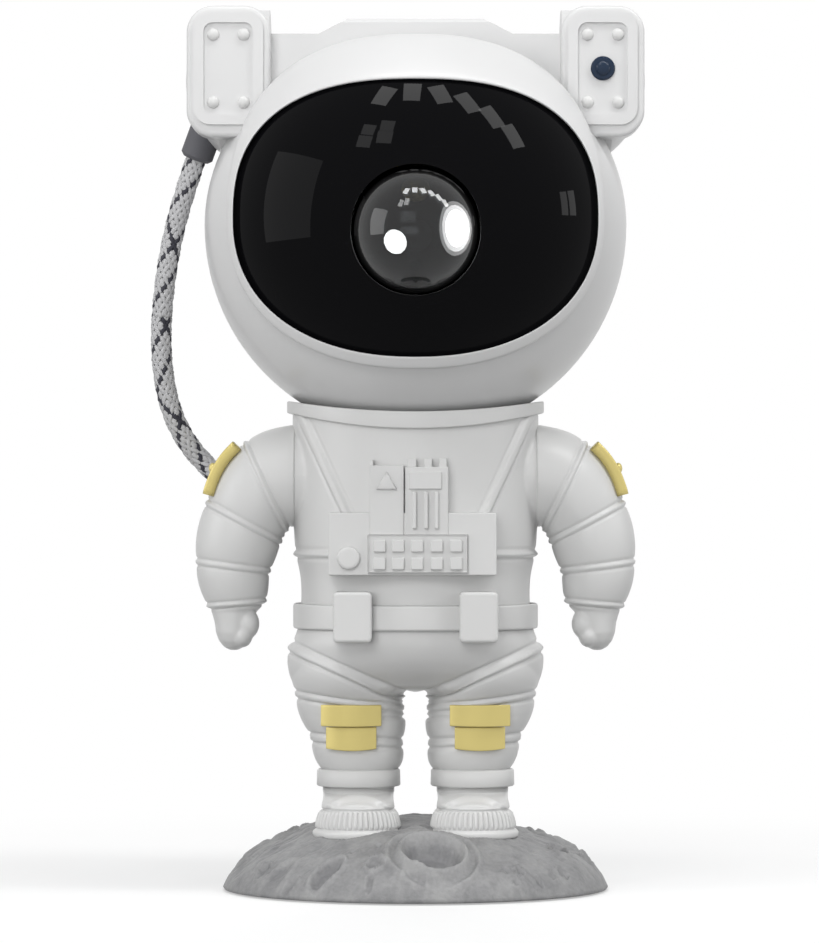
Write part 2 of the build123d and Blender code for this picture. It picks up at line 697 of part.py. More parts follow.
def lens_dome():
    """Clear dome on a short skirt, with a flange behind the visor."""
    front = -LENS_CENTRE
    back = front + LENS_SKIRT
    half = block((-FAR, FAR), (-FAR, front), (-FAR, FAR))
    at = Pos(0, front, LENS_Z)
    cap = (at * Sphere(LENS_R) - at * Sphere(LENS_R - LENS_T)) & half
    skirt = lens_rod(LENS_R, front, back) - lens_rod(LENS_R - LENS_T, front, back)
    flange = lens_rod(LENS_FLANGE_R, back, back + LENS_FLANGE_T) - lens_rod(LENS_R - LENS_T, back, back + LENS_FLANGE_T)
    return cap + skirt + flange


def ear_z():
    return CROWN_H - EAR_DROP


def ear_box():
    """Right ear box with its raised, recessed plate."""
    z = ear_z()
    box = plate_y(EAR_W, EAR_H, EAR_CORNER, -EAR_FRONT, -EAR_FRONT + EAR_DEPTH, EAR_X, z)
    box = fillet(box.faces().sort_by(Axis.Y)[0].edges(), 1.2)
    width = EAR_W - 2 * EAR_PLATE_SIDE
    height = EAR_H - EAR_PLATE_SIDE - EAR_PLATE_BOTTOM
    lift = (EAR_PLATE_BOTTOM - EAR_PLATE_SIDE) / 2
    front = -EAR_FRONT - EAR_PLATE_OUT
    box += plate_y(width, height, EAR_PLATE_CORNER, -EAR_FRONT + 0.5, front, EAR_X, z + lift)
    recess = plate_y(width - 2 * EAR_RECESS_SIDE, height - 2 * EAR_RECESS_SIDE, EAR_RECESS_CORNER,
                     front, -EAR_FRONT - 0.1, EAR_X, z + lift)
    return box - recess


def ear_face():
    return -EAR_FRONT - 0.1


def plate_z():
    return ear_z() + (EAR_PLATE_BOTTOM - EAR_PLATE_SIDE) / 2


def ear_rivets():
    """Domed rivets, four on each ear plate."""
    rivets = []
    for side in (-1, 1):
        for dx in (-RIVET_X, RIVET_X):
            for dz in (-RIVET_Z, RIVET_Z):
                x, z = side * EAR_X + dx, plate_z() + dz
                ball = Pos(x, ear_face(), z) * scale(Sphere(1), by=(RIVET_R, 1.1, RIVET_R))
                rivet = ball & block((-FAR, FAR), (-FAR, ear_face()), (-FAR, FAR))
                rivets.append(solid_of(rivet))
    return Compound(children=rivets)


def ir_receiver():
    """Remote-control eye on the right ear plate."""
    face = ear_face()
    bezel = rod_y(IR_R, face, face - 1.0, EAR_X, plate_z())
    bezel = chamfer(bezel.faces().sort_by(Axis.Y)[0].edges(), 0.4)
    return bezel + Pos(EAR_X, face - 1.0, plate_z()) * scale(Sphere(1), by=(IR_LENS_R, 0.9, IR_LENS_R))


def ear_cup():
    """Right ear cup: a domed disc about the X axis."""
    z = ear_z() - 0.7
    crown = CUP_OUT - CUP_EDGE
    bulge = (CUP_R ** 2 + crown ** 2) / (2 * crown)
    arc = RadiusArc((CUP_EDGE, CUP_R), (CUP_OUT, 0), bulge)
    edges = [Line((CUP_IN, 0), (CUP_IN, CUP_R)), Line((CUP_IN, CUP_R), (CUP_EDGE, CUP_R)), arc,
             Line((CUP_OUT, 0), (CUP_IN, 0))]
    disc = revolve(make_face(edges), Axis.X)
    return Pos(0, CUP_Y, z) * disc


def top_bridge(ears):
    """Bar over the crown that joins the two ear cups."""
    top = CROWN_H + BRIDGE_TOP
    step = top - BRIDGE_STEP
    out = BRIDGE_HALF + BRIDGE_CHAMFER
    half = [(0, top), (BRIDGE_HALF, top), (out, step), (CUP_IN + 2, step), (CUP_IN + 2, step - 16), (0, step - 16)]
    left = [(-x, z) for x, z in reversed(half[1:-1])]
    face = make_face(Polyline(*half[:-1], *left, close=True))
    bar = Pos(0, BRIDGE_BACK, 0) * extrude(FRONT * face, amount=BRIDGE_FRONT + BRIDGE_BACK)
    bar = chamfer(bar.edges().filter_by(Axis.X).group_by(Axis.Z)[-1], 1.0)
    crown = scale(Rot(90, 0, 0) * Sphere(HEAD_R), by=(1, 1, CROWN_H / HEAD_R))
    return bar - ears - crown


def helmet_screw_places():
    x, z = HELMET_SCREWS
    return [(sx * x, sz * z) for sx in (-1, 1) for sz in (-1, 1)]


def helmet_screws():
    screws = [screw_y(x, z, HELMET_SCREW_HEAD_Y, HELMET_SCREW_LENGTH) for x, z in helmet_screw_places()]
    return [solid_of(s) for s in screws]


def helmet_shell(helmet, hollow):
    """Both halves in one, with the window for the visor and the screw bosses."""
    posts, holes = [], []
    for x, z in helmet_screw_places():
        boss = rod_y(HELMET_BOSS_R, BULKHEAD_Y + BULKHEAD_T, 30.0, x, z)
        rib = Pos(x, -2.0, z) * Rot(0, -degrees_of(x, z), 0) * block((0, 9), (-10, 14), (-1.2, 1.2))
        posts.append((boss + rib) & helmet)
        holes.append(rod_y(SCREW_HEAD_R + 0.3, HELMET_SCREW_HEAD_Y + SCREW_HEAD_T, FAR / 2, x, z))
    return (helmet - hollow) + posts - holes


def degrees_of(x, z):
    """Direction from the middle to a point of the XZ plane, in degrees."""
    return Vector(x, z, 0).get_signed_angle(Vector(1, 0, 0)) * -1


def helmet_window():
    opening = head_prism(full_oval(*VISOR_OPENING, margin=-SHELL_UNDER_VISOR))
    rebate = visor_band(VISOR_R - VISOR_T, FAR / 2, VISOR_UNDER_FRAME)
    return opening + rebate


# ------------------------------------------------------------------ optics
def bulkhead_back():
    return BULKHEAD_Y + BULKHEAD_T


def wheel_z():
    return LENS_Z - WHEEL_OFFSET


def wheel_front():
    return bulkhead_back() + WHEEL_GAP


def pinion_place():
    distance = GEAR_MODULE * (WHEEL_TEETH + PINION_TEETH) / 2
    return distance * cos(radians(MESH_ANGLE)), wheel_z() + distance * sin(radians(MESH_ANGLE))


def gear(teeth, thick, turn):
    """Spur gear about the Y axis with straight-sided teeth; turn is the angle of one tooth's middle."""
    pitch = GEAR_MODULE * teeth / 2
    root = pitch - 1.25 * GEAR_MODULE
    tip = pitch + GEAR_MODULE - MESH_CLEAR
    quarter = 360.0 / teeth / 4
    points = []
    for tooth in range(teeth):
        middle = turn + tooth * 360.0 / teeth
        for radius, share in ((root, -1.35), (pitch, -0.92), (tip, -0.5), (tip, 0.5), (pitch, 0.92), (root, 1.35)):
            angle = radians(middle + share * quarter)
            points.append((radius * cos(angle), radius * sin(angle)))
    return extrude(FRONT * make_face(Polyline(*points, close=True)), amount=-thick)


def nebula_wheel():
    """Rippled clear wheel with a toothed rim and a pin that runs in the bulkhead."""
    wheel = Pos(0, wheel_front(), wheel_z()) * gear(WHEEL_TEETH, WHEEL_T, MESH_ANGLE)
    pin = rod_y(WHEEL_PIN_R, BULKHEAD_Y - 0.5, wheel_front(), 0, wheel_z())
    return wheel + pin


def motor_pinion():
    """Pinion on the motor's shaft: a gap of the pinion meets a tooth of the wheel."""
    x, z = pinion_place()
    half_pitch = 180.0 / PINION_TEETH
    teeth = Pos(x, wheel_front() - 0.3, z) * gear(PINION_TEETH, WHEEL_T + 0.6, MESH_ANGLE + 180.0 + half_pitch)
    shaft = rod_y(SHAFT_R_MOTOR, wheel_front(), wheel_front() + WHEEL_T + 0.3 + MOTOR_GAP + 4.0, x, z)
    return teeth + shaft


def motor_post_places():
    """Either side of the pinion, square to the line between the two gears."""
    x, z = pinion_place()
    reach = MOTOR_R + 2.6
    across = radians(MESH_ANGLE + 90)
    return [(x + s * reach * cos(across), z + s * reach * sin(across)) for s in (-1, 1)]


def motor_front():
    return wheel_front() + WHEEL_T + 0.3 + MOTOR_GAP


def drive_motor():
    """Gear motor with two ears that rest on posts of the bulkhead."""
    x, z = pinion_place()
    front = motor_front()
    can = rod_y(MOTOR_R, front, front + MOTOR_L, x, z)
    ear = plate_y(2 * (MOTOR_R + 4.5), 4.4, 2.0, front, front + 1.2)
    ears = Pos(x, 0, z) * Rot(0, -MESH_ANGLE - 90, 0) * ear
    bore = rod_y(SHAFT_R_MOTOR + PIN_CLEAR, front, front + 5.0, x, z)
    return can + ears - bore


def led_front():
    return wheel_front() + WHEEL_T + LED_GAP


def optics_frame(hollow, dome, laser):
    """Bulkhead across the helmet with the lens barrel in front and the posts behind."""
    back = bulkhead_back()
    disc = block((-FAR, FAR), (BULKHEAD_Y, back), (-FAR, FAR)) & hollow
    barrel_front = -LENS_CENTRE + LENS_SKIRT
    barrel = lens_rod(LENS_FLANGE_R + BARREL_T, barrel_front, BULKHEAD_Y)
    bore = lens_rod(LENS_FLANGE_R - 1.5, barrel_front, BULKHEAD_Y) + lens_rod(LENS_FLANGE_R, barrel_front, barrel_front + LENS_FLANGE_T)
    frame = disc + (barrel - bore)
    frame += rod_y(WHEEL_PIN_R + 2.0, back, wheel_front() - 0.2, 0, wheel_z())
    frame -= rod_y(BEAM_R, BULKHEAD_Y, back, 0, LENS_Z)
    frame -= rod_y(WHEEL_PIN_R + PIN_CLEAR, BULKHEAD_Y - 1, wheel_front(), 0, wheel_z())
    for x, z in motor_post_places():
        frame += rod_y(1.8, back, motor_front(), x, z)
    for side in (-1, 1):
        frame += rod_y(2.4, back, led_front(), side * (LED_BOARD[0] / 2 - 2.6), LENS_Z + 2.5)
    return frame - laser


def led_board():
    width, thick, height = LED_BOARD
    front = led_front()
    board = block((-width / 2, width / 2), (front, front + thick), (LENS_Z - height / 2, LENS_Z + height / 2))
    dome = Pos(0, front, LENS_Z) * Sphere(LED_R) & block((-FAR, FAR), (-FAR, front), (-FAR, FAR))
    return board + dome


def heat_sink():
    """Finned block on the back of the LED board."""
    width, depth, height = SINK
    front = led_front() + LED_BOARD[1]
    low, high = LENS_Z - height / 2, LENS_Z + height / 2
    sink = block((-width / 2, width / 2), (front, front + depth), (low, high))
    pitch = width / (SINK_FINS - 0.5)
    for index in range(SINK_FINS - 1):
        x = -width / 2 + pitch * (index + 0.5)
        sink -= block((x, x + pitch / 2), (front + 2.5, front + depth + 1), (low - 1, high + 1))
    return sink


def laser_module():
    front = BULKHEAD_Y - 3.0
    z = LENS_Z + LASER_RISE
    body = rod_y(LASER_R, front, front + LASER_L, 0, z)
    return body - rod_y(1.4, front, front + 1.5, 0, z)


def head_steel_plate():
    """Dished plate inside the chin that the neck magnet holds."""
    inner = HEAD_R - HEAD_WALL
    dish = Sphere(inner) - Sphere(inner - STEEL_PLATE_T)
    return dish & Pos(0, 0, -HEAD_R / 2) * Cylinder(STEEL_PLATE_R, HEAD_R)


# ------------------------------------------------------------------ neck
def neck_magnet():
    top = HEAD_Z - HUB_BOTTOM + MAGNET_T
    return Pos(0, 0, top - MAGNET_T / 2) * Cylinder(MAGNET_R, MAGNET_T)


def collar_column(grow):
    """Oval column under the head, grown by a distance."""
    oval = Ellipse(*[half + grow for half in COLLAR_HALF])
    return Pos(0, 0, HEAD_Z - HEAD_R) * extrude(oval, amount=HEAD_R / 2, both=True)


def neck_collar():
    """Trim ring that follows the head and stands on the rim of the shells."""
    cup_r = HEAD_R + COLLAR_GAP
    below = cup_r + COLLAR_T
    cup = collar_column(0.0) & (head_ball(below) - head_ball(cup_r))
    flange = collar_column(FLANGE_OUT) & (head_ball(below) - head_ball(below - FLANGE_T))
    return (cup + flange) - collar_column(-COLLAR_W)


def neck_socket():
    """Plate held between the two shells, with the hub for the glide ring and the magnet."""
    low = HEAD_Z - HUB_BOTTOM
    plate = torso_solid(SOCKET_PLATE_IN - WALL) & block((-HUB_R, HUB_R), (-FAR, FAR), (low, low + SOCKET_PLATE_T))
    hub = Pos(0, 0, low + HUB_H / 2) * Cylinder(HUB_R, HUB_H)
    high = HEAD_Z - RING_FLOOR + HUB_H / 2
    groove = Pos(0, 0, high) * (Cylinder(RING_OUT + RING_GAP, HUB_H) - Cylinder(RING_IN - PIN_CLEAR, HUB_H))
    return (plate + hub) - groove - neck_magnet()


def neck_glide_ring():
    """Low-friction ring between the collar and the head: it turns about Z and the head tilts on it."""
    floor = HEAD_Z - RING_FLOOR + RING_GAP
    ring = Pos(0, 0, floor + 10) * (Cylinder(RING_OUT, 20) - Cylinder(RING_IN, 20))
    return ring - head_ball(HEAD_R + RING_GAP)


# ------------------------------------------------------------------ backpack
def pack_corners():
    x = PACK_W / 2 - PACK_SCREW_IN
    low, high = PACK_Z + PACK_SCREW_IN, PACK_Z + PACK_H - PACK_SCREW_IN
    return [(sx * x, z) for sx in (-1, 1) for z in (low, high)]


def pack_middle():
    return PACK_Z + PACK_H / 2


def board_corners():
    x, z = BOARD_W / 2 - 3.0, BOARD_H / 2 - 3.0
    return [(sx * x, pack_middle() + sz * z) for sx in (-1, 1) for sz in (-1, 1)]


def backpack_shell(neighbours):
    """Tray that follows the back, with posts for the cover's screws and the board."""
    shell = plate_y(PACK_W, PACK_H, PACK_R, PACK_BACK, 8.0, 0, pack_middle())
    cavity = plate_y(PACK_W - 2 * PACK_WALL, PACK_H - 2 * PACK_WALL, PACK_R - PACK_WALL,
                     PACK_BACK + 1, PACK_FLOOR, 0, pack_middle())
    posts = [rod_y(BOSS_R, PACK_FLOOR - 1, PACK_BACK, x, z) for x, z in pack_corners()]
    posts += [rod_y(STANDOFF_R, PACK_FLOOR - 1, BOARD_Y, x, z) for x, z in board_corners()]
    return (shell - cavity) + posts - neighbours


def backpack_cover(screws):
    cover = plate_y(PACK_W, PACK_H, PACK_R, PACK_BACK, PACK_BACK + COVER_T, 0, pack_middle())
    cover = fillet(cover.faces().sort_by(Axis.Y)[-1].edges(), 0.9)
    for side in (-1, 1):
        cover -= rod_y(BUTTON_R + BUTTON_CLEAR, PACK_BACK - 1, PACK_BACK + COVER_T + 1, side * BUTTON_X, button_z())
    cover -= plate_y(SOCKET[0] + 0.4, SOCKET[1] + 0.4, 1.8, PACK_BACK - 1, PACK_BACK + COVER_T + 1, 0, socket_z())
    return cover - screws


def button_z():
    return PACK_Z + BUTTON_RISE


def socket_z():
    return PACK_Z + SOCKET_RISE


def button(side):
    """Push button: cap, flange behind the cover, and the stem that meets the switch."""
    x, z = side * BUTTON_X, button_z()
    stop = PACK_BACK - BUTTON_CLEAR
    cap = rod_y(BUTTON_R, stop - BUTTON_FLANGE_T, PACK_BACK + COVER_T + BUTTON_OUT, x, z)
    cap = fillet(cap.faces().sort_by(Axis.Y)[-1].edges(), 0.6)
    flange = rod_y(BUTTON_R + BUTTON_FLANGE, stop - BUTTON_FLANGE_T, stop, x, z)
    stem = rod_y(2.0, switch_top() + BUTTON_TRAVEL + 0.05, stop - BUTTON_FLANGE_T, x, z)
    return cap + flange + stem


def switch_top():
    return BOARD_Y + BOARD_T + 4.0


def control_board():
    board = block((-BOARD_W / 2, BOARD_W / 2), (BOARD_Y, BOARD_Y + BOARD_T),
                  (pack_middle() - BOARD_H / 2, pack_middle() + BOARD_H / 2))
    for side in (-1, 1):
        x = side * BUTTON_X
        board += block((x - SWITCH_SIZE / 2, x + SWITCH_SIZE / 2), (BOARD_Y + BOARD_T, switch_top()),
                       (button_z() - SWITCH_SIZE / 2, button_z() + SWITCH_SIZE / 2))
    chip = block((-5, 5), (BOARD_Y + BOARD_T, BOARD_Y + BOARD_T + 1.6), (pack_middle() - 8, pack_middle() + 1))
    return board + chip


def power_socket():
    """Metal power inlet that stands on the board and looks out through the cover."""
    back = PACK_BACK + COVER_T - 0.6
    front = BOARD_Y + BOARD_T
    shell = plate_y(SOCKET[0], SOCKET[1], 1.6, front, back, 0, socket_z())
    mouth = plate_y(SOCKET[0] - 0.7, SOCKET[1] - 0.7, 1.25, back - 6.0, back + 1, 0, socket_z())
    tongue = plate_y(SOCKET[0] - 2.6, 0.8, 0.3, back - 6.5, back - 0.8, 0, socket_z())
    return shell - mouth + tongue


# ------------------------------------------------------------------ hose
def corner_radii(points):
    """Largest gentle arc at each corner of a route."""
    radii = []
    for before, here, after in zip(points, points[1:], points[2:]):
        first, second = Vector(*here) - Vector(*before), Vector(*after) - Vector(*here)
        turn = radians(first.get_angle(second))
        radii.append(0.45 * min(first.length, second.length) / tan(turn / 2))
    return radii


def hose_tube(name, points):
    radii = corner_radii(points)
    path = FilletPolyline(*points, radius=radii)
    tube = sweep(Plane(origin=path @ 0, z_dir=path % 0) * Circle(HOSE_D / 2), path)
    section = pi * HOSE_D ** 2 / 4
    print(name, "length", round(path.length, 1), "volume ratio", round(tube.volume / section / path.length, 4),
          "radii", [round(r) for r in radii])
    return tube


def gland(at, towards, back, front):
    """Short collar round the hose where it enters a housing."""
    direction = (Vector(*towards) - Vector(*at)).normalized()
    plane = Plane(origin=Vector(*at) - direction * back, z_dir=direction)
    outer = extrude(plane * Circle(GLAND_R), amount=back + front)
    return chamfer(outer.faces().sort_by(Axis((0, 0, 0), direction))[-1].edges(), 0.9)


# ------------------------------------------------------------------ the whole figure
def build():
    parts = {}
    torso = torso_solid()
    legs = leg_solid()
    screws = base_screws()
    right_boot = boot(screws)
    left_boot = other_side(right_boot)
    parts["moon_base"] = moon_base(right_boot + left_boot, screws)
    parts["base_plate"] = base_plate(screws)
    parts["base_pad"] = base_pad()
    parts["base_screws"] = screws
    parts["right_boot"] = right_boot
    parts["left_boot"] = left_boot

    inside_screws, cover_screws = body_screws()
    collar = neck_collar()
    socket_plate = neck_socket()
    shell = body_shell() - ([collar, socket_plate] + inside_screws)
    parts["body_front_shell"] = front_half(shell)
    parts["body_rear_shell"] = rear_half(shell)
    parts["body_screws"] = Compound(children=inside_screws + cover_screws)
    parts["neck_collar"] = collar
    parts["neck_socket"] = socket_plate
    parts["neck_magnet"] = neck_magnet()
    parts["neck_glide_ring"] = neck_glide_ring()

    parts["waist_belt"] = waist_belt(torso)
    pouch = belt_pouch(torso, parts["waist_belt"])
    parts["right_belt_pouch"] = pouch
    parts["left_belt_pouch"] = other_side(pouch)
    parts["chest_panel"] = chest_panel([torso] + ring_seams() + straps())
    parts["chest_display"] = chest_display()
    parts["chest_rods"] = chest_rods()
    parts["chest_key_strip"] = chest_key_strip()
    parts["chest_keys"] = chest_keys()
    parts["chest_knob"] = chest_knob()
    parts["knee_patches"] = knee_patches([legs] + leg_seams())

    pivot = arm_pivot()
    sleeve = arm(pivot)
    guard = shoulder_patch(sleeve)
    for name, piece in (("arm", sleeve), ("arm_pivot", pivot), ("shoulder_patch", guard)):
        parts["right_" + name] = piece
        parts["left_" + name] = other_side(piece)

    helmet = helmet_solid(HEAD_R, CROWN_H)
    hollow = helmet_solid(HEAD_R - HEAD_WALL, CROWN_H - HEAD_WALL)
    cup, box = ear_cup(), ear_box()
    ears = [cup, other_side(cup), box, other_side(box)]
    cup, box = cup - helmet, box - [helmet, cup]
    window = helmet_window()
    fasteners = helmet_screws()
    head_shell = helmet_shell(helmet, hollow) - fasteners
    upper_tube = hose_tube("hose_upper", HOSE_UPPER)
    lower_tube = hose_tube("hose_lower", HOSE_LOWER)
    laser = laser_module()
    dome = lens_dome()
    head = {
        "helmet_front_shell": front_half(head_shell) - window,
        "helmet_rear_shell": rear_half(head_shell),
        "helmet_screws": Compound(children=fasteners),
        "visor_frame": visor_frame(helmet, ears),
        "visor": visor(),
        "lens_dome": dome,
        "right_ear_box": box,
        "left_ear_box": other_side(box),
        "ear_rivets": ear_rivets(),
        "ir_receiver": ir_receiver(),
        "top_bridge": top_bridge(ears),
        "right_ear_cup": cup,
        "optics_frame": optics_frame(hollow, dome, laser),
        "nebula_wheel": nebula_wheel(),
        "motor_pinion": motor_pinion(),
        "drive_motor": drive_motor(),
        "led_board": led_board(),
        "heat_sink": heat_sink(),
        "laser_module": laser,
        "head_steel_plate": head_steel_plate(),
    }
    for name, piece in head.items():
        parts[name] = HEAD * piece
    left_cup = HEAD * other_side(cup)
    upper_gland = gland(HOSE_UPPER[-1], HOSE_UPPER[-2], 3.0, GLAND_L) - left_cup - upper_tube
    parts["left_ear_cup"] = left_cup - upper_tube
    parts["hose_upper_gland"] = solid_of(upper_gland).solids().sort_by(SortBy.VOLUME)[-1]
    parts["hose_upper"] = upper_tube
    parts["hose_lower"] = lower_tube
    lower_gland = gland(HOSE_LOWER[0], HOSE_LOWER[1], 3.0, GLAND_L) - lower_tube
    parts["hose_lower_gland"] = lower_gland

    skins = [torso, parts["waist_belt"], lower_gland, lower_tube] + ring_seams() + cover_screws
    parts["backpack_shell"] = backpack_shell(skins)
    parts["backpack_cover"] = backpack_cover(cover_screws)
    parts["control_board"] = control_board()
    parts["power_socket"] = power_socket()
    parts["star_button"] = button(-1)
    parts["nebula_button"] = button(1)
    return parts


def main():
    os.makedirs("parts", exist_ok=True)
    for node, shape in build().items():
        export_step(solid_of(shape), f"parts/{node}.step")


if __name__ == "__main__":
    main()
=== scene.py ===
import json
import math

import bmesh
import bpy
from mathutils import Matrix, Vector, noise


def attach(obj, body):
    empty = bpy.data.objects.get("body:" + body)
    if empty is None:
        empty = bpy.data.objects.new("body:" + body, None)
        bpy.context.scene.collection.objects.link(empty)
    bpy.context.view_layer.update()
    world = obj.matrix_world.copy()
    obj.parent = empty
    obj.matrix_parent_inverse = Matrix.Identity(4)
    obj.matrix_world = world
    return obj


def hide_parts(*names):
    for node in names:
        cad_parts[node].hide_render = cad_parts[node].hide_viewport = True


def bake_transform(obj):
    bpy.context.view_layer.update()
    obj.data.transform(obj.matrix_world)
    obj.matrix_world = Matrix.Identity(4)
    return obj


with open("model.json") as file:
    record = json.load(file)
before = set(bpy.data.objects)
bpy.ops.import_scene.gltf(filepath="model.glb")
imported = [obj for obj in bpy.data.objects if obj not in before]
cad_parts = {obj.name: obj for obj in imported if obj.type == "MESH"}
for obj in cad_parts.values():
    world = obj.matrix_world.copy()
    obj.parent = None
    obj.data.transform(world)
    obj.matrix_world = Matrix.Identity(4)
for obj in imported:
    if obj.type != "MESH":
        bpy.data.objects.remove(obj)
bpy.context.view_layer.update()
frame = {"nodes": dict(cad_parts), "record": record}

NODES = frame["nodes"]
MM = 0.001      # the pieces are drawn in millimetres and brought to metres when they are finished


# ---------------------------------------------------------------- camera, floor and light
# The figure faces -Y. The camera stands level in front of it, a little to the left.
CAMERA_AT = Vector((-1.56, -1300.0, 108.6)) * MM
VIEW_HEIGHT = 245.2 * MM          # height seen at the figure's middle
SENSOR = 24.0
FIGURE_MIDDLE = Vector((0, 0, 0.13))
HEAD_MIDDLE = Vector((0, -0.05, 0.18))
LENS_MIDDLE = Vector((0, -0.06, 0.172))
# name, place, width, height, power, whether glossy surfaces show it
SOFTBOXES = (("front_softbox", (-0.30, -1.15, 0.66), 0.60, 0.45, 5.4, False),
             ("left_softbox", (-0.85, -0.30, 0.35), 0.50, 0.60, 2.1, True),
             ("rear_softbox", (0.0, 0.95, 0.62), 0.70, 0.40, 4.4, False),
             ("right_softbox", (0.85, -0.30, 0.35), 0.50, 0.60, 1.9, False),
             ("low_softbox", (-0.20, -1.00, 0.13), 0.60, 0.22, 2.6, False))
ROOF_PANES = 6
ROOF_REACH = 0.82               # from the head to the roof window
WALL_REACH = 0.85
# size and power of the discs that stand behind each other for one glare
LOW_GLARE = ((0.10, 3.0), (0.15, 1.6))
RIGHT_GLARE = ((0.13, 7.0), (0.19, 2.6), (0.25, 1.6), (0.31, 1.1))
FLOOR_SIZE = 4000.0
FLOOR_FADE = (0.06, 0.32)       # distances between which the floor turns to plain white


def make_camera():
    camera = bpy.data.objects.new("camera", bpy.data.cameras.new("camera"))
    bpy.context.scene.collection.objects.link(camera)
    camera.location = CAMERA_AT
    camera.rotation_euler = (math.radians(90), 0, 0)
    camera.data.sensor_fit = "VERTICAL"
    camera.data.sensor_height = SENSOR
    camera.data.lens = SENSOR * abs(CAMERA_AT.y) / VIEW_HEIGHT
    camera.data.clip_start = 0.01
    bpy.context.scene.camera = camera
    bpy.context.scene.view_settings.view_transform = "Standard"


def area_lamp(name, at, width, height, power, mirrored=True):
    lamp = bpy.data.objects.new(name, bpy.data.lights.new(name, "AREA"))
    bpy.context.scene.collection.objects.link(lamp)
    lamp.location = at
    lamp.rotation_euler = (FIGURE_MIDDLE - Vector(at)).to_track_quat("-Z", "Y").to_euler()
    lamp.data.shape = "RECTANGLE"
    lamp.data.size, lamp.data.size_y = width, height
    lamp.data.energy = power
    lamp.visible_camera = False
    lamp.visible_glossy = mirrored
    return lamp


def lens_lamp(name, at, size, power):
    """Round lamp that only the lens is lit by, for the glare in it."""
    lamp = area_lamp(name, at, size, size, power)
    lamp.data.shape = "DISK"
    lamp.rotation_euler = (LENS_MIDDLE - Vector(at)).to_track_quat("-Z", "Y").to_euler()
    lit = bpy.data.collections.new(name + "_lit")
    lit.objects.link(NODES["lens_dome"])
    lamp.light_linking.receiver_collection = lit


def light_the_set():
    """Soft light from above and in front, with windows whose panes show in the visor."""
    for pane in range(ROOF_PANES):
        turn = math.radians(-14 + 12.5 * pane)
        at = HEAD_MIDDLE + Vector((math.sin(turn), -0.30, math.cos(turn))) * ROOF_REACH
        area_lamp(f"roof_pane_{pane}", at, 0.11, 0.17, 0.80)
    for row in range(2):
        for column in range(2):
            at = HEAD_MIDDLE + Vector((-0.40 + 0.17 * column, -0.58, 0.62 + 0.16 * row)) * WALL_REACH
            area_lamp(f"wall_pane_{row}_{column}", at, 0.10, 0.09, 0.18)
    for softbox in SOFTBOXES:
        area_lamp(*softbox)
    for pane in range(2):
        area_lamp(f"side_pane_{pane}", (0.50, -0.07 + 0.05 * pane, 0.245), 0.04, 0.08, 0.06)
    for order, (size, power) in enumerate(LOW_GLARE):
        lens_lamp(f"lens_light_low_{order}", (-0.118 - 0.001 * order, -0.202, 0.096), size, power)
    for order, (size, power) in enumerate(RIGHT_GLARE):
        lens_lamp(f"lens_light_right_{order}", (0.197 + 0.001 * order, -0.095, 0.178), size, power)


def seen_ray(tree):
    """1 for the rays that look straight, by a mirror or through glass, and 0 for the light itself."""
    path = tree.nodes.new("ShaderNodeLightPath").outputs
    either = math_node(tree, "ADD", path["Is Camera Ray"], path["Is Glossy Ray"])
    total = math_node(tree, "ADD", either, path["Is Transmission Ray"])
    total.node.use_clamp = True
    return total


def make_world():
    world = bpy.data.worlds.new("studio")
    bpy.context.scene.world = world
    world.use_nodes = True
    tree = world.node_tree
    tree.nodes.clear()
    room = add_node(tree, "ShaderNodeBackground", {"Color": (0.96, 0.98, 1.0, 1), "Strength": 0.17})
    paper = add_node(tree, "ShaderNodeBackground", {"Color": (1, 1, 1, 1), "Strength": 1.0})
    seen = seen_ray(tree)
    mix = add_node(tree, "ShaderNodeMixShader", {"Fac": seen, 1: room.outputs[0], 2: paper.outputs[0]})
    add_node(tree, "ShaderNodeOutputWorld", {"Surface": mix.outputs[0]})


def make_floor():
    """Pale paper, white to the eye except where the figure's shadow falls near its foot."""
    mesh = bmesh.new()
    bmesh.ops.create_grid(mesh, x_segments=1, y_segments=1, size=FLOOR_SIZE)
    floor = finish_piece(mesh, "floor", smooth=False)
    material, tree, shader = new_material("floor_paper")
    seen = seen_ray(tree)
    paper = colour_mix(tree, seen, (0.30, 0.30, 0.30, 1), (0.90, 0.90, 0.90, 1))
    set_inputs(tree, shader, {"Base Color": paper, "Roughness": 0.9, "Specular IOR Level": 0.1})
    glow = add_node(tree, "ShaderNodeEmission", {"Strength": 1.0})
    reach = tree.nodes.new("ShaderNodeVectorMath")
    reach.operation = "LENGTH"
    set_inputs(tree, reach, {0: object_place(tree)})
    fade = map_range(tree, reach.outputs["Value"], *FLOOR_FADE, 0.45)
    fade.node.interpolation_type = "SMOOTHSTEP"
    share = math_node(tree, "MULTIPLY", seen, fade)
    mix = add_node(tree, "ShaderNodeMixShader", {"Fac": share, 1: shader.outputs[0], 2: glow.outputs[0]})
    set_inputs(tree, tree.nodes["Material Output"], {"Surface": mix.outputs[0]})
    dress(floor, material)


# ---------------------------------------------------------------- helpers for meshes
def finish_piece(mesh, name, smooth=True):
    """Turns a bmesh drawn in millimetres into an object at the origin, in metres."""
    bmesh.ops.scale(mesh, vec=(MM, MM, MM), verts=mesh.verts)
    data = bpy.data.meshes.new(name)
    mesh.to_mesh(data)
    mesh.free()
    if smooth:
        data.shade_smooth()
    piece = bpy.data.objects.new(name, data)
    bpy.context.scene.collection.objects.link(piece)
    return piece


def dress(piece, *materials):
    """Gives a piece its materials in order, and leaves each face's own number alone."""
    slots = piece.data.materials
    for index, material in enumerate(materials):
        if index < len(slots):
            slots[index] = material
        else:
            slots.append(material)


def apply_modifiers(piece):
    graph = bpy.context.evaluated_depsgraph_get()
    made = bpy.data.meshes.new_from_object(piece.evaluated_get(graph))
    plain = piece.data
    piece.modifiers.clear()
    piece.data = made
    bpy.data.meshes.remove(plain)


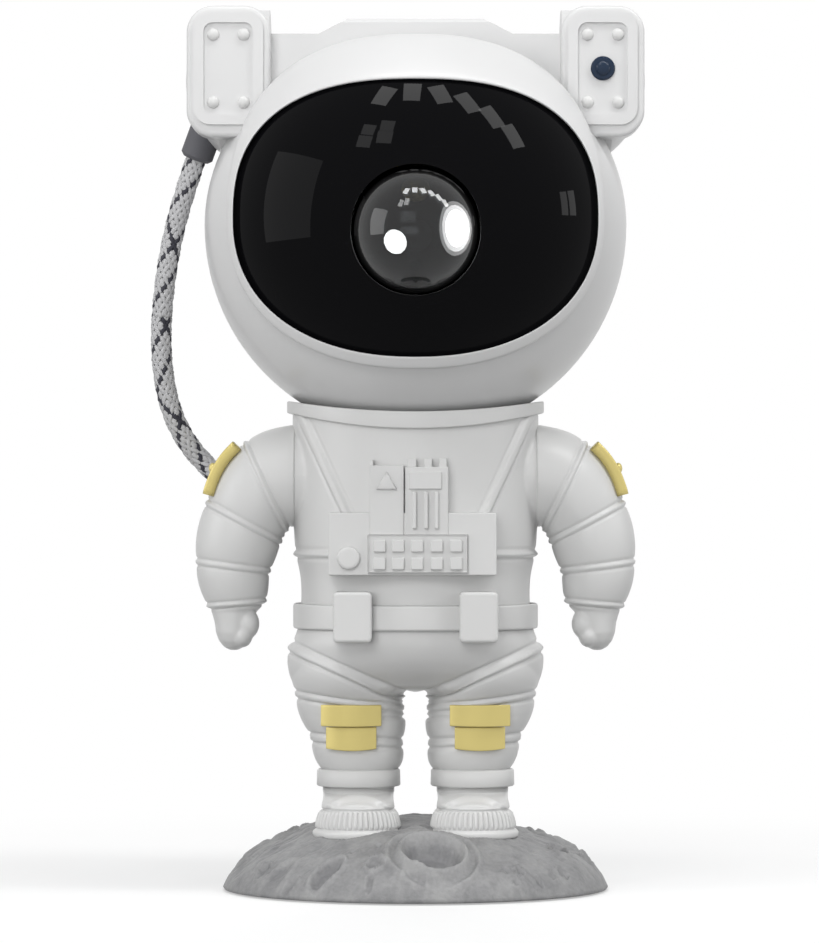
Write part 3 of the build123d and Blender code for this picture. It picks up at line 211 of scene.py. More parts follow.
def melt_together(piece, voxel, rounds):
    """Melts overlapping closed shells into one even skin and softens its creases."""
    remesh = piece.modifiers.new("melt", "REMESH")
    remesh.mode = "VOXEL"
    remesh.voxel_size = voxel * MM
    remesh.use_smooth_shade = True
    soften = piece.modifiers.new("soften", "SMOOTH")
    soften.factor = 0.5
    soften.iterations = rounds
    apply_modifiers(piece)


def swell(piece, height_at):
    """Moves each point along its normal by the height, in millimetres, that the function gives."""
    moves = [(v, v.normal.copy(), height_at(v.co / MM, v.normal)) for v in piece.data.vertices]
    for vertex, normal, height in moves:
        vertex.co += normal * height * MM
    piece.data.update()


def hand_over(piece, body, node, finish):
    """Finish of a piece, the body that carries it and the node it stands for."""
    dress(piece, FINISHES[finish])
    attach(piece, body)
    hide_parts(node)


def round_turns(count):
    """Even turns round a circle, in radians."""
    return [2 * math.pi * index / count for index in range(count)]


def sweep_ring(mesh, rings, loop_back=False):
    """Extrudes a closed ring through a list of rings, and caps its ends or joins them."""
    sides = len(rings[0])
    first = bmesh.ops.create_circle(mesh, segments=sides, radius=1.0)["verts"]
    for vert, at in zip(first, rings[0]):
        vert.co = at
    edges = list({edge for vert in first for edge in vert.link_edges})
    start_edges, loop = list(edges), list(first)
    for ring in rings[1:]:
        made = bmesh.ops.extrude_edge_only(mesh, edges=edges)["geom"]
        fresh = {item for item in made if isinstance(item, bmesh.types.BMVert)}
        edges = [item for item in made if isinstance(item, bmesh.types.BMEdge)
                 and item.verts[0] in fresh and item.verts[1] in fresh]
        known = set(loop)
        pairs = {}
        for vert in fresh:
            for edge in vert.link_edges:
                other = edge.other_vert(vert)
                if other in known:
                    pairs[other] = vert
        loop = [pairs[vert] for vert in loop]
        for vert, at in zip(loop, ring):
            vert.co = at
    if loop_back:
        bmesh.ops.bridge_loops(mesh, edges=start_edges + edges)
        return
    bmesh.ops.contextual_create(mesh, geom=list(reversed(first)))
    bmesh.ops.contextual_create(mesh, geom=loop)


def closed_piece(mesh, name):
    bmesh.ops.recalc_face_normals(mesh, faces=mesh.faces)
    return finish_piece(mesh, name)


def between(table, at, column):
    """Smooth value of one column of a table whose first column runs upwards."""
    index = 0
    while index < len(table) - 2 and at > table[index + 1][0]:
        index += 1
    low, high = table[index], table[index + 1]
    before, after = table[max(index - 1, 0)], table[min(index + 2, len(table) - 1)]
    span = high[0] - low[0]
    share = min(max((at - low[0]) / span, 0.0), 1.0)
    lead = (high[column] - before[column]) / (high[0] - before[0]) * span
    trail = (after[column] - low[column]) / (after[0] - low[0]) * span
    s2, s3 = share * share, share ** 3
    return ((2 * s3 - 3 * s2 + 1) * low[column] + (s3 - 2 * s2 + share) * lead
            + (3 * s2 - 2 * s3) * high[column] + (s3 - s2) * trail)


def steps(low, high, step):
    count = max(int(round((high - low) / step)), 1)
    return [low + (high - low) * index / count for index in range(count + 1)]


def hump(distance, width):
    """Smooth round bump of height 1."""
    return math.exp(-(distance / width) ** 2)


def piping(distance, proud, width):
    """Raised round cord with a fine crease along each side."""
    crease = hump(abs(distance) - 1.7 * width, 0.5 * width)
    return proud * hump(distance, width) - 0.5 * proud * crease


def puff(share, fullness):
    """Round swelling between two seams, 0 at both."""
    if not 0.0 < share < 1.0:
        return 0.0
    return fullness * (1.0 - (2.0 * share - 1.0) ** 2) ** 0.6


# ---------------------------------------------------------------- nodes of the materials
def set_inputs(tree, node, inputs):
    """Gives inputs of a node a value, or a link from the output of another."""
    for key, value in inputs.items():
        if isinstance(value, bpy.types.NodeSocket):
            tree.links.new(value, node.inputs[key])
        else:
            node.inputs[key].default_value = value


def add_node(tree, kind, inputs):
    node = tree.nodes.new(kind)
    set_inputs(tree, node, inputs)
    return node


def object_place(tree):
    return tree.nodes.new("ShaderNodeTexCoord").outputs["Object"]


def noise_node(tree, place, scale, detail=2.0):
    texture = add_node(tree, "ShaderNodeTexNoise", {"Vector": place, "Scale": scale, "Detail": detail})
    return texture.outputs["Fac"]


def math_node(tree, operation, *values):
    node = tree.nodes.new("ShaderNodeMath")
    node.operation = operation
    set_inputs(tree, node, dict(enumerate(values)))
    return node.outputs[0]


def map_range(tree, value, low, high, least=0.0):
    """Brings a value from between two limits to between the least and 1."""
    node = add_node(tree, "ShaderNodeMapRange", {"Value": value, "From Min": low, "From Max": high,
                                                 "To Min": least})
    return node.outputs["Result"]


def colour_mix(tree, factor, first, second, blend="MIX"):
    node = tree.nodes.new("ShaderNodeMix")
    node.data_type = "RGBA"
    node.blend_type = blend
    set_inputs(tree, node, {"Factor": factor, "A": first, "B": second})
    return node.outputs["Result"]


def add_bump(tree, shader, height, strength, distance):
    """Bends the shader's normals by a height."""
    bump = add_node(tree, "ShaderNodeBump", {"Strength": strength, "Distance": distance, "Height": height})
    set_inputs(tree, shader, {"Normal": bump.outputs["Normal"]})


def new_group(name, inputs, outputs):
    group = bpy.data.node_groups.new(name, "ShaderNodeTree")
    for label, kind, value in inputs:
        socket = group.interface.new_socket(label, in_out="INPUT", socket_type=kind)
        socket.default_value = value
    for label, kind in outputs:
        group.interface.new_socket(label, in_out="OUTPUT", socket_type=kind)
    return group, group.nodes.new("NodeGroupInput"), group.nodes.new("NodeGroupOutput")


def moulded_skin_group():
    """Fine moulding grain with soft cloudy changes of tone and roughness."""
    group, given, out = new_group("moulded_skin", (
        ("Color", "NodeSocketColor", (0.8, 0.8, 0.8, 1)), ("Tone", "NodeSocketFloat", 0.04),
        ("Roughness", "NodeSocketFloat", 0.4), ("Grain Size", "NodeSocketFloat", 2500.0)), (
        ("Color", "NodeSocketColor"), ("Roughness", "NodeSocketFloat"), ("Height", "NodeSocketFloat")))
    place = object_place(group)
    cloud = noise_node(group, place, 28.0, 4.0)
    dark = math_node(group, "SUBTRACT", 1.0, given.outputs["Tone"])
    shade = map_range(group, cloud, 0.3, 0.7, dark)
    tint = colour_mix(group, 1.0, given.outputs["Color"], shade, "MULTIPLY")
    rough = math_node(group, "MULTIPLY_ADD", cloud, 0.12, given.outputs["Roughness"])
    grain = noise_node(group, place, given.outputs["Grain Size"])
    set_inputs(group, out, {"Color": tint, "Roughness": rough, "Height": grain})
    return group


SKIN = moulded_skin_group()


# ---------------------------------------------------------------- materials
ACRYLIC_IOR = 1.49


def new_material(name):
    """A material with its node tree and its shader."""
    material = bpy.data.materials.new(name)
    material.use_nodes = True
    return material, material.node_tree, material.node_tree.nodes["Principled BSDF"]


def moulded(name, colour, roughness, tone=0.04, grain=2500.0, bump=0.06, metallic=0.0, coat=0.0, specular=0.5):
    """Moulded or coated surface with the fine grain of its tool."""
    material, tree, shader = new_material(name)
    skin = tree.nodes.new("ShaderNodeGroup")
    skin.node_tree = SKIN
    set_inputs(tree, skin, {"Color": (*colour, 1), "Tone": tone, "Roughness": roughness, "Grain Size": grain})
    set_inputs(tree, shader, {"Base Color": skin.outputs["Color"], "Roughness": skin.outputs["Roughness"],
                              "Metallic": metallic, "Coat Weight": coat, "Coat Roughness": 0.12,
                              "Specular IOR Level": specular})
    add_bump(tree, shader, skin.outputs["Height"], bump, 0.0002)
    return material


def clear_glass(name, colour):
    material, tree, shader = new_material(name)
    set_inputs(tree, shader, {"Base Color": (*colour, 1), "Roughness": 0.01, "Transmission Weight": 1.0,
                              "IOR": ACRYLIC_IOR, "Specular IOR Level": 0.22})
    return material


def polished(name, colour):
    """Deep gloss with faint wipe marks."""
    material, tree, shader = new_material(name)
    wipe = noise_node(tree, object_place(tree), 60.0, 5.0)
    rough = math_node(tree, "MULTIPLY_ADD", wipe, 0.05, -0.01)
    set_inputs(tree, shader, {"Base Color": (*colour, 1), "Roughness": rough, "Specular IOR Level": 0.045})
    return material


def stone(name, pale, dark):
    """Cast moon rock: clouded grey and fine pitting, with painted highlight on the crater rims and painted
    shade in the crater hollows.
    """
    material, tree, shader = new_material(name)
    place = object_place(tree)
    cloud = noise_node(tree, place, 150.0, 6.0)
    speck = noise_node(tree, place, 900.0, 3.0)
    mottle = math_node(tree, "MULTIPLY_ADD", speck, 0.45, math_node(tree, "MULTIPLY", cloud, 0.9))
    # point attribute with painted shade in the crater bowls and painted highlight on the crater rims
    painted_crater_shading = tree.nodes.new("ShaderNodeAttribute")
    painted_crater_shading.attribute_name = "painted_crater_shading"
    tone = map_range(tree, math_node(tree, "ADD", mottle, painted_crater_shading.outputs["Fac"]), 0.40, 0.95)
    set_inputs(tree, shader, {"Base Color": colour_mix(tree, tone, (*dark, 1), (*pale, 1)),
                              "Roughness": math_node(tree, "MULTIPLY_ADD", cloud, 0.25, 0.40)})
    pits = add_node(tree, "ShaderNodeTexVoronoi", {"Vector": place, "Scale": 420.0})
    shallow = math_node(tree, "MINIMUM", pits.outputs["Distance"], 0.35)
    relief = math_node(tree, "ADD", math_node(tree, "MULTIPLY", shallow, 1.2), speck)
    add_bump(tree, shader, relief, 0.55, 0.0003)
    return material


def make_materials():
    return {
        "moon_rock": stone("moon_rock", (0.29, 0.29, 0.29), (0.16, 0.16, 0.165)),
        "suit_white": moulded("suit_white", (0.60, 0.60, 0.595), 0.30),
        "helmet_white": moulded("helmet_white", (0.62, 0.62, 0.62), 0.30, coat=0.12),
        "gold_trim": moulded("gold_trim", (0.60, 0.50, 0.18), 0.33, metallic=0.6, coat=0.3),
        "visor_black": polished("visor_black", (0.002, 0.002, 0.0025)),
        "lens_clear": clear_glass("lens_clear", (0.09, 0.10, 0.105)),
        "inner_black": moulded("inner_black", (0.012, 0.012, 0.013), 0.45),
        "dark_grey": moulded("dark_grey", (0.10, 0.10, 0.11), 0.5),
        "rubber_black": moulded("rubber_black", (0.03, 0.03, 0.03), 0.8, bump=0.3),
        "steel": moulded("steel", (0.55, 0.55, 0.56), 0.32, metallic=1.0),
        "magnet_nickel": moulded("magnet_nickel", (0.66, 0.64, 0.6), 0.18, metallic=1.0),
        "brass": moulded("brass", (0.72, 0.52, 0.22), 0.3, metallic=1.0),
        "aluminium": moulded("aluminium", (0.72, 0.72, 0.74), 0.4, metallic=1.0),
        "board_green": moulded("board_green", (0.02, 0.16, 0.06), 0.35, coat=0.4),
        "gear_white": moulded("gear_white", (0.75, 0.74, 0.68), 0.4),
        "hose_braid": moulded("hose_braid", (0.45, 0.45, 0.46), 0.6),
        "hose_gland": moulded("hose_gland", (0.09, 0.09, 0.10), 0.6),
        "ir_blue": moulded("ir_blue", (0.008, 0.020, 0.045), 0.08, bump=0.0, specular=0.3),
    }


# ---------------------------------------------------------------- hose
HOSE_D = 5.8
HOSE_SPLIT = (-66.75, 16.5, 149.5)
HOSE_UPPER = (HOSE_SPLIT, (-66.0, 15.0, 160.0), (-61.5, 12.0, 180.0), (-55.5, 9.5, 196.0))
HOSE_LOWER = ((-28.0, 28.5, 98.0), (-41.0, 27.5, 100.5), (-54.0, 25.0, 108.0),
              (-64.0, 21.5, 121.0), (-67.5, 18.0, 139.0), HOSE_SPLIT)
BRAID_STRANDS = 10
BRAID_PITCH = 26.0
BRAID_STEP = 0.8
BRAID_SLANT = 0.6
BRAID_DEPTH = 0.55              # from the outside of the braid to its core
CORE_SIDES = 16
FLECKS = (3, 9, 14)             # the strands woven from dark thread


def smooth_route(points):
    """The points that a smooth line through the route's control points follows."""
    curve = bpy.data.curves.new("route", "CURVE")
    curve.dimensions = "3D"
    curve.resolution_u = 24
    spline = curve.splines.new("NURBS")
    spline.points.add(len(points) - 1)
    for point, at in zip(spline.points, points):
        point.co = (*at, 1)
    spline.order_u = 3
    spline.use_endpoint_u = True
    guide = bpy.data.objects.new("route", curve)
    line = bpy.data.meshes.new_from_object(guide)
    route = [vertex.co.copy() for vertex in line.vertices]
    bpy.data.objects.remove(guide)
    bpy.data.meshes.remove(line)
    return route


def frames_along(route):
    """Each point of a route with its direction and two sides that don't twist."""
    side = Vector((0, 1, 0))
    found = []
    for index, at in enumerate(route):
        ahead = (route[min(index + 1, len(route) - 1)] - route[max(index - 1, 0)]).normalized()
        side = (side - ahead * side.dot(ahead)).normalized()
        found.append((at, ahead, side, ahead.cross(side)))
    return found


def resample(route, step):
    """The same line with points a fixed step apart."""
    even, left = [route[0]], step
    for start, end in zip(route, route[1:]):
        length, gone = (end - start).length, 0.0
        while length - gone >= left:
            gone += left
            even.append(start.lerp(end, gone / length))
            left = step
        left -= length - gone
    even[-1] = route[-1]
    return even


def braided_hose(name, route):
    """Woven sleeve: strands wind both ways and pass over and under each other on a dark core."""
    stations = frames_along(resample(route, BRAID_STEP))
    mesh = bmesh.new()
    core = HOSE_D / 2 - BRAID_DEPTH
    sweep_ring(mesh, [[at + (side * math.cos(turn) + up * math.sin(turn)) * core
                       for turn in round_turns(CORE_SIDES)] for at, _, side, up in stations])
    layer = mesh.faces.layers.int.new("strand")
    width = 2 * math.pi * core / BRAID_STRANDS * 0.42
    for strand in range(2 * BRAID_STRANDS):
        known = len(mesh.faces)
        way = 1 if strand < BRAID_STRANDS else -1
        rings = []
        for index, (at, ahead, side, up) in enumerate(stations):
            wind = 2 * math.pi * index * BRAID_STEP / BRAID_PITCH
            turn = way * wind + 2 * math.pi * strand / BRAID_STRANDS
            wave = way * math.cos(BRAID_STRANDS * wind + math.pi * strand)
            out = side * math.cos(turn) + up * math.sin(turn)
            across = (ahead.cross(out) * math.cos(BRAID_SLANT) - ahead * way * math.sin(BRAID_SLANT)) * width
            middle = at + out * (core + 0.12 + 0.16 * wave)
            lift = out * 0.17
            rings.append([middle - across - lift * 0.3, middle - across * 0.5 + lift,
                          middle + across * 0.5 + lift, middle + across - lift * 0.3, middle - lift])
        sweep_ring(mesh, rings)
        mesh.faces.ensure_lookup_table()
        for face in mesh.faces[known:]:
            face[layer] = strand + 1
    bmesh.ops.recalc_face_normals(mesh, faces=mesh.faces)
    for face in mesh.faces:
        kind = face[layer]
        face.material_index = 0 if kind == 0 else (2 if kind in FLECKS else 1)
    return finish_piece(mesh, name)


def add_hoses():
    core = moulded("braid_core", (0.05, 0.05, 0.055), 0.7)
    thread = moulded("braid_thread", (0.55, 0.55, 0.56), 0.55, tone=0.2, grain=4000.0, bump=0.3)
    fleck = moulded("braid_fleck", (0.03, 0.03, 0.04), 0.6)
    for node, points, bodies in (("hose_lower", HOSE_LOWER, ("body", "neck_ring")),
                                 ("hose_upper", HOSE_UPPER, ("neck_ring", "head"))):
        route = smooth_route(points)
        hose = braided_hose("braided_" + node, route)
        dress(hose, core, thread, fleck)
        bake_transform(hose)
        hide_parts(node)


# ---------------------------------------------------------------- moon base
# distance from the middle, height
ROCK_PROFILE = ((0.0, 18.2), (15.0, 17.8), (24.0, 16.9), (29.5, 15.7), (36.0, 12.7), (41.0, 10.2),
                (45.5, 7.2), (48.3, 4.2), (49.6, 1.8), (50.0, 0.6))
SEAT_Z = 14.5
ROCK_R = 50.0
ROCK_SIDES = 540
ROCK_RINGS = 120
ROCK_LIP = (0.4, 0.45, 0.9)      # heights of the outermost rings
# x, y, radius, depth, rim, stretch, turn in degrees
CRATERS = ((4.4, -38.0, 6.9, 2.9, 1.7, 1.08, 0), (-22.7, -39.0, 2.7, 1.4, 0.8, 1.7, 28),
           (-11.6, -46.4, 1.05, 0.8, 0.40, 1.5, 80), (-10.4, -41.4, 1.9, 0.5, 0.65, 1.3, 60),
           (-0.6, -48.2, 3.0, 0.5, 0.45, 1.05, 30), (-35.6, -30.6, 3.4, 0.8, 0.55, 1.5, 35),
           (-31.8, -36.2, 1.5, 0.6, 0.40, 1.3, 10), (-39.0, -23.0, 1.9, 0.6, 0.40, 1.2, 50),
           (-15.6, -34.4, 0.9, 0.4, 0.30, 1.2, 0), (-9.4, -34.0, 0.8, 0.4, 0.30, 1.4, 70),
           (22.6, -38.6, 0.95, 0.5, 0.35, 1.5, 20), (26.4, -36.8, 1.1, 0.5, 0.40, 1.3, 110),
           (25.2, -40.6, 0.8, 0.4, 0.30, 1.3, 40), (25.8, -43.0, 1.5, 0.5, 0.35, 1.1, 90),
           (31.4, -36.4, 0.9, 0.4, 0.30, 1.2, 0), (30.2, -39.6, 0.8, 0.4, 0.25, 1.0, 20),
           (34.6, -31.0, 1.0, 0.4, 0.30, 1.3, 60), (37.6, -26.6, 1.3, 0.5, 0.35, 1.2, 20),
           (20.0, -43.6, 1.2, 0.3, 0.25, 1.0, 0), (12.6, -48.0, 0.8, 0.4, 0.30, 1.0, 0),
           (38.5, 10.0, 5.6, 1.6, 0.9, 1.2, 80), (-38.0, 12.0, 6.2, 1.7, 0.9, 1.1, 100),
           (2.0, 37.0, 7.0, 2.0, 1.0, 1.12, 0), (-20.0, 37.0, 3.2, 1.1, 0.6, 1.4, 150),
           (22.0, 38.4, 3.8, 1.2, 0.6, 1.2, 30), (37.0, -13.0, 2.2, 0.8, 0.5, 1.4, 110),
           (-31.0, 29.0, 1.9, 0.7, 0.4, 1.0, 0), (31.6, 28.0, 2.2, 0.9, 0.5, 1.3, 60),
           (-45.0, -6.0, 2.2, 0.8, 0.4, 1.2, 90), (44.6, -4.0, 1.8, 0.7, 0.4, 1.2, 90),
           (44.0, 20.0, 1.5, 0.5, 0.3, 1.2, 10), (-44.6, 19.0, 1.6, 0.6, 0.3, 1.3, 70),
           (-8.0, 46.4, 1.8, 0.6, 0.4, 1.2, 0), (12.0, 47.0, 1.3, 0.5, 0.3, 1.3, 40))
BOOT_X = 14.8
BOOT_TOE = (-12.8, 11.0)        # y and radius of the toe's round
BOOT_HEEL = (4.0, 10.0)


def crater_height(x, y):
    """Flat-floored bowls with raised rims, each stretched and turned."""
    height = 0.0
    for cx, cy, radius, depth, rim, stretch, turn in CRATERS:
        dx, dy = x - cx, y - cy
        if abs(dx) > 2.2 * radius * stretch or abs(dy) > 2.2 * radius * stretch:
            continue
        turn = math.radians(turn)
        along = (dx * math.cos(turn) + dy * math.sin(turn)) / stretch
        across = dy * math.cos(turn) - dx * math.sin(turn)
        reach = math.hypot(along, across) / radius
        sharp = 1.5 if radius < 2.6 else 1.15
        height += 1.2 * sharp * rim * hump(reach - 1.14, 0.13)
        if radius > 5.0:
            height += 0.7 * rim * hump(reach - 1.58, 0.11)
        if reach < 1.0:
            wall = min(max((1.0 - reach) / 0.30, 0.0), 1.0)
            height -= sharp * depth * wall * wall * (3 - 2 * wall)
    return height


def inside_boot(x, y, out=0.0):
    x = abs(x) - BOOT_X
    for cy, radius in (BOOT_TOE, BOOT_HEEL):
        if math.hypot(x, y - cy) < radius + out:
            return True
    return BOOT_TOE[0] < y < BOOT_HEEL[0] and abs(x) < 10.4 + out


def rock_height(x, y, reach):
    """Lumps, craters and creases of the rock, with a level seat under each boot."""
    z = between(ROCK_PROFILE, reach, 1)
    facets = noise.noise(Vector((x, y, 3.0)) * 0.055)
    lumps = noise.noise(Vector((x, y, 9.0)) * 0.16)
    edge = min(1.0, (ROCK_R - reach) / 3.0)
    z += edge * (1.0 * facets + 0.5 * lumps + crater_height(x, y))
    rough = min(max((abs(x) - 16.0) / 12.0, 0.0), 1.0)
    creases = abs(noise.noise(Vector((x * 0.5, y, 2.0)) * 0.30))
    z -= edge * rough * 0.7 * max(0.0, 0.22 - creases) / 0.22
    z += edge * 0.16 * noise.noise(Vector((x, y, 5.0)) * 0.8)
    if inside_boot(x, y, -1.3):
        return min(z, SEAT_Z - 0.2)
    if y < -11.0 and inside_boot(x, y, 3.0):
        return min(z, SEAT_Z + 0.1 + 0.35 * max(0.0, y + 22.0))
    return z


def moon_base_stone():
    """Moon-rock base: lumpy slopes, raised crater rims and chipped edges."""
    mesh = bmesh.new()
    reaches = [48.6, 49.7, ROCK_R]
    reaches += [ROCK_R * (1 - index / ROCK_RINGS) ** 0.8 for index in range(1, ROCK_RINGS)]
    rings = []
    for order, reach in enumerate(reaches):
        ring = []
        for turn in round_turns(ROCK_SIDES):
            x, y = reach * math.cos(turn), reach * math.sin(turn)
            z = ROCK_LIP[order] if order < len(ROCK_LIP) else rock_height(x, y, reach)
            ring.append(Vector((x, y, max(z, ROCK_LIP[0]))))
        rings.append(ring)
    sweep_ring(mesh, rings)
    rock = closed_piece(mesh, "moon_base_stone")
    # painted crater shading from the crater heights: darker in the bowls, paler on the rims
    painted_crater_shading = rock.data.attributes.new("painted_crater_shading", "FLOAT", "POINT")
    for vertex, row in zip(rock.data.vertices, painted_crater_shading.data):
        row.value = min(max(0.16 * crater_height(vertex.co.x / MM, vertex.co.y / MM), -0.22), 0.22)
    hand_over(rock, "body", "moon_base", "moon_rock")


# ---------------------------------------------------------------- boots
RIBS = 68
RIB_SHAPE = (0.30, 0.40, 0.40, 0.30, -0.50, -0.50)
BOOT_LEVELS = ((14.5, 0.1), (14.6, 0.5), (15.0, 0.7), (15.9, 0.7), (16.3, 0.5), (16.5, 0.0), (16.8, -0.35))
BAND_FOOT, BAND_TOP, CAP_TOP = 17.0, 21.5, 25.6
SHAFT_R, SHAFT_TOP = 9.3, 29.0
OUTLINE_POINTS = 1440
BISECTIONS = 22
SOLE_MIDDLE = (BOOT_TOE[0] - BOOT_TOE[1] + BOOT_HEEL[0] + BOOT_HEEL[1]) / 2
TOE_ARC = (25.1, 2.3, 7.8)      # crown, drop at the ends and half width of the ridge over the toe


def boot_outline(turn):
    """Point of the sole's outline in a direction from its middle."""
    ahead = Vector((math.cos(turn), math.sin(turn)))
    low, high = 0.0, 40.0
    for _ in range(BISECTIONS):
        reach = (low + high) / 2
        x, y = reach * ahead.x, SOLE_MIDDLE + reach * ahead.y
        share = min(max((y - BOOT_TOE[0]) / (BOOT_HEEL[0] - BOOT_TOE[0]), 0.0), 1.0)
        cy = BOOT_TOE[0] + share * (BOOT_HEEL[0] - BOOT_TOE[0])
        radius = BOOT_TOE[1] + share * (BOOT_HEEL[1] - BOOT_TOE[1])
        if math.hypot(x, y - cy) < radius:
            low = reach
        else:
            high = reach
    return Vector((low * ahead.x, SOLE_MIDDLE + low * ahead.y))


def even_outline(count):
    """Points of the sole's outline, the same distance apart."""
    fine = [boot_outline(turn) for turn in round_turns(OUTLINE_POINTS)]
    fine.append(fine[0])
    run = [0.0]
    for start, end in zip(fine, fine[1:]):
        run.append(run[-1] + (end - start).length)
    even, index = [], 0
    for order in range(count):
        reach = run[-1] * order / count
        while run[index + 1] < reach:
            index += 1
        even.append(fine[index].lerp(fine[index + 1], (reach - run[index]) / (run[index + 1] - run[index])))
    return even


def boot_rings():
    """Level rings of one boot: lip, ribbed band, domed toe cap and shaft."""
    sides = RIBS * len(RIB_SHAPE)
    sole = even_outline(sides)
    turns = [math.atan2(at.y - SOLE_MIDDLE, at.x) for at in sole]
    outward = []
    for index in range(sides):
        along = sole[(index + 1) % sides] - sole[index - 1]
        outward.append(Vector((along.y, -along.x)).normalized())
    levels = [(z, out, 0.0, 0.0) for z, out in BOOT_LEVELS]
    for z in steps(BAND_FOOT, BAND_TOP, 0.3):
        share = (z - BAND_FOOT) / (BAND_TOP - BAND_FOOT)
        levels.append((z, -0.25 - 1.2 * share ** 1.8, min(1.0, 12 * share, 9 * (1 - share)), 0.0))
    levels += [(BAND_TOP + up, out, 0.0, 0.0) for up, out in ((0.15, -2.0), (0.35, -2.1), (0.55, -1.7))]
    for z in steps(BAND_TOP + 0.8, CAP_TOP, 0.22):
        share = (z - BAND_TOP - 0.55) / (CAP_TOP - BAND_TOP - 0.55)
        levels.append((z, -1.6, 0.0, 1 - math.sqrt(max(1 - share * share, 0.0))))
    rings = []
    for z, out, rib, dome in levels:
        ring = []
        for index, turn in enumerate(turns):
            ridge = rib * RIB_SHAPE[index % len(RIB_SHAPE)]
            edge = sole[index] + outward[index] * (out + ridge)
            shaft = Vector((SHAFT_R * math.cos(turn), SHAFT_R * math.sin(turn)))
            at = edge.lerp(shaft, dome)
            ring.append(Vector((at.x, at.y, z)))
        rings.append(ring)
    rings.append([Vector((SHAFT_R * math.cos(turn), SHAFT_R * math.sin(turn), SHAFT_TOP)) for turn in turns])
    return rings


def toe_relief(at, _):
    """Bowed ridge over the toe with a shallow hollow under it."""
    crown, drop, half = TOE_ARC
    side = abs(abs(at.x) - BOOT_X) / half
    if at.y > -6.0 or side > 1.15 or at.z < BAND_TOP + 0.5:
        return 0.0
    ends = min(1.0, max(0.0, (1.15 - side) / 0.25))
    above = at.z - (crown - drop * side * side)
    below = at.z - (22.5 + 0.9 * side * side)
    return ends * (0.42 * hump(above, 0.42) - 0.28 * hump(above + 0.95, 0.45) - 0.22 * hump(below, 0.35))


def add_boots():
    rings = boot_rings()
    for side, sign in (("left", -1), ("right", 1)):
        mesh = bmesh.new()
        sweep_ring(mesh, [[Vector((sign * (at.x + BOOT_X), at.y, at.z)) for at in ring] for ring in rings])
        boot = closed_piece(mesh, side + "_ribbed_boot")
        swell(boot, toe_relief)
        hand_over(boot, "body", side + "_boot", "suit_white")


# ---------------------------------------------------------------- suit: torso and legs
CROTCH_Z = 51.3
HEAD_Z = 172.4
DISH_R = 57.9                   # the neck opening follows the head
# height, half width, half depth
TORSO = tuple((CROTCH_Z + 6.0 * index, *half) for index, half in enumerate((
    (29.6, 12.0), (31.4, 21.0), (32.0, 25.2), (30.2, 25.6), (29.7, 25.4), (29.9, 25.6), (31.1, 26.3),
    (31.6, 26.6), (31.7, 26.8), (31.8, 26.9), (31.8, 27.0), (31.9, 27.0), (32.0, 27.1), (32.2, 27.2))))
# height, middle |x|, half width, half depth
LEG = ((26.0, 14.6, 9.2, 9.3), (31.8, 14.5, 9.4, 9.5), (40.5, 15.4, 11.2, 11.2), (49.0, 16.9, 13.0, 13.2),
       (56.0, 17.4, 13.2, 17.0), (62.0, 17.0, 12.6, 19.0))
CUFF = (27.0, 31.5, 10.9)       # foot, top, radius
SHOULDER_Z = 107.5
SHOULDER_R = 12.5
SHOULDER_X = 32.0
WAIST_SEAM_Z = 87.3
# seams round the leg: height at its inside, climb outwards, |x| of its inside
HIP_SEAM = (50.1, 0.44, 2.2)
THIGH_SEAM = (47.2, 0.138, 3.2)
THIGH_FOLD = (44.7, 0.04, 0.0)
KNEE_SEAM = (38.2, 0.075, 3.9)
STRAP_TOP = (29.6, 123.3)
STRAP_FOOT = (17.9, 98.3)


def oval_ring(cx, half_x, half_y, z, sides=96):
    return [Vector((cx + half_x * math.cos(turn), half_y * math.sin(turn), z)) for turn in round_turns(sides)]


def torso_ring(z):
    return oval_ring(0.0, between(TORSO, z, 1), between(TORSO, z, 2), z)


def dished_top(half_x, half_y, share):
    ring = oval_ring(0.0, half_x * share, half_y * share, 0.0)
    for at in ring:
        at.z = HEAD_Z - math.sqrt(DISH_R ** 2 - at.x ** 2 - at.y ** 2)
    return ring


def torso_relief(at, _):
    """Waist seam and the two crossing straps, as heights over the smooth body."""
    height = piping(at.z - WAIST_SEAM_Z, 0.75, 0.68)
    if at.z > 95.0 and at.y < -8.0:
        run = Vector((STRAP_TOP[0] - STRAP_FOOT[0], STRAP_TOP[1] - STRAP_FOOT[1]))
        away = Vector((abs(at.x) - STRAP_FOOT[0], at.z - STRAP_FOOT[1]))
        along = away.dot(run) / run.length
        across = (away.x * run.y - away.y * run.x) / run.length
        if along > -2.0:
            strap = 0.85 / (1.0 + math.exp((abs(across) - 0.95) / 0.12))
            height += strap - 0.25 * hump(abs(across) - 1.4, 0.35)
    return height


def seam_height(seam, side):
    foot, climb, inside = seam
    return foot + climb * (side - inside)


def trouser_relief(at, normal):
    """Seams, folds and padded rolls of the hips and legs."""
    side = abs(at.x)
    front = max(0.0, -normal.y)
    outer = min(max((side - 4.0) / 26.0, 0.0), 1.0)
    hip, thigh = seam_height(HIP_SEAM, side), seam_height(THIGH_SEAM, side)
    fold, knee = seam_height(THIGH_FOLD, side), seam_height(KNEE_SEAM, side)
    height = piping((at.z - hip) * 0.915, 1.0, 0.8)
    if at.z < 57.0 and at.z < hip - 1.5:
        height += piping(at.z - thigh, 0.85, 0.62)
    height -= 0.9 * (1.0 - outer) ** 1.5 * (1.0 - 0.6 * front) * hump(at.z - fold, 0.5)
    height += piping(at.z - knee, 0.85, 0.7)
    calm = 1.0 - 0.35 * front
    for upper, lower, full in ((hip, thigh, 1.7), (thigh, knee, 1.5), (knee, CUFF[1] - 0.3, 1.7)):
        if upper - lower > 1.0:
            height += calm * puff((upper - at.z) / (upper - lower), full * min(1.0, (upper - lower) / 7.0))
    return height


def dress_suit(piece, voxel, rounds, relief, node):
    melt_together(piece, voxel, rounds)
    swell(piece, relief)
    hand_over(piece, "body", node, "suit_white")


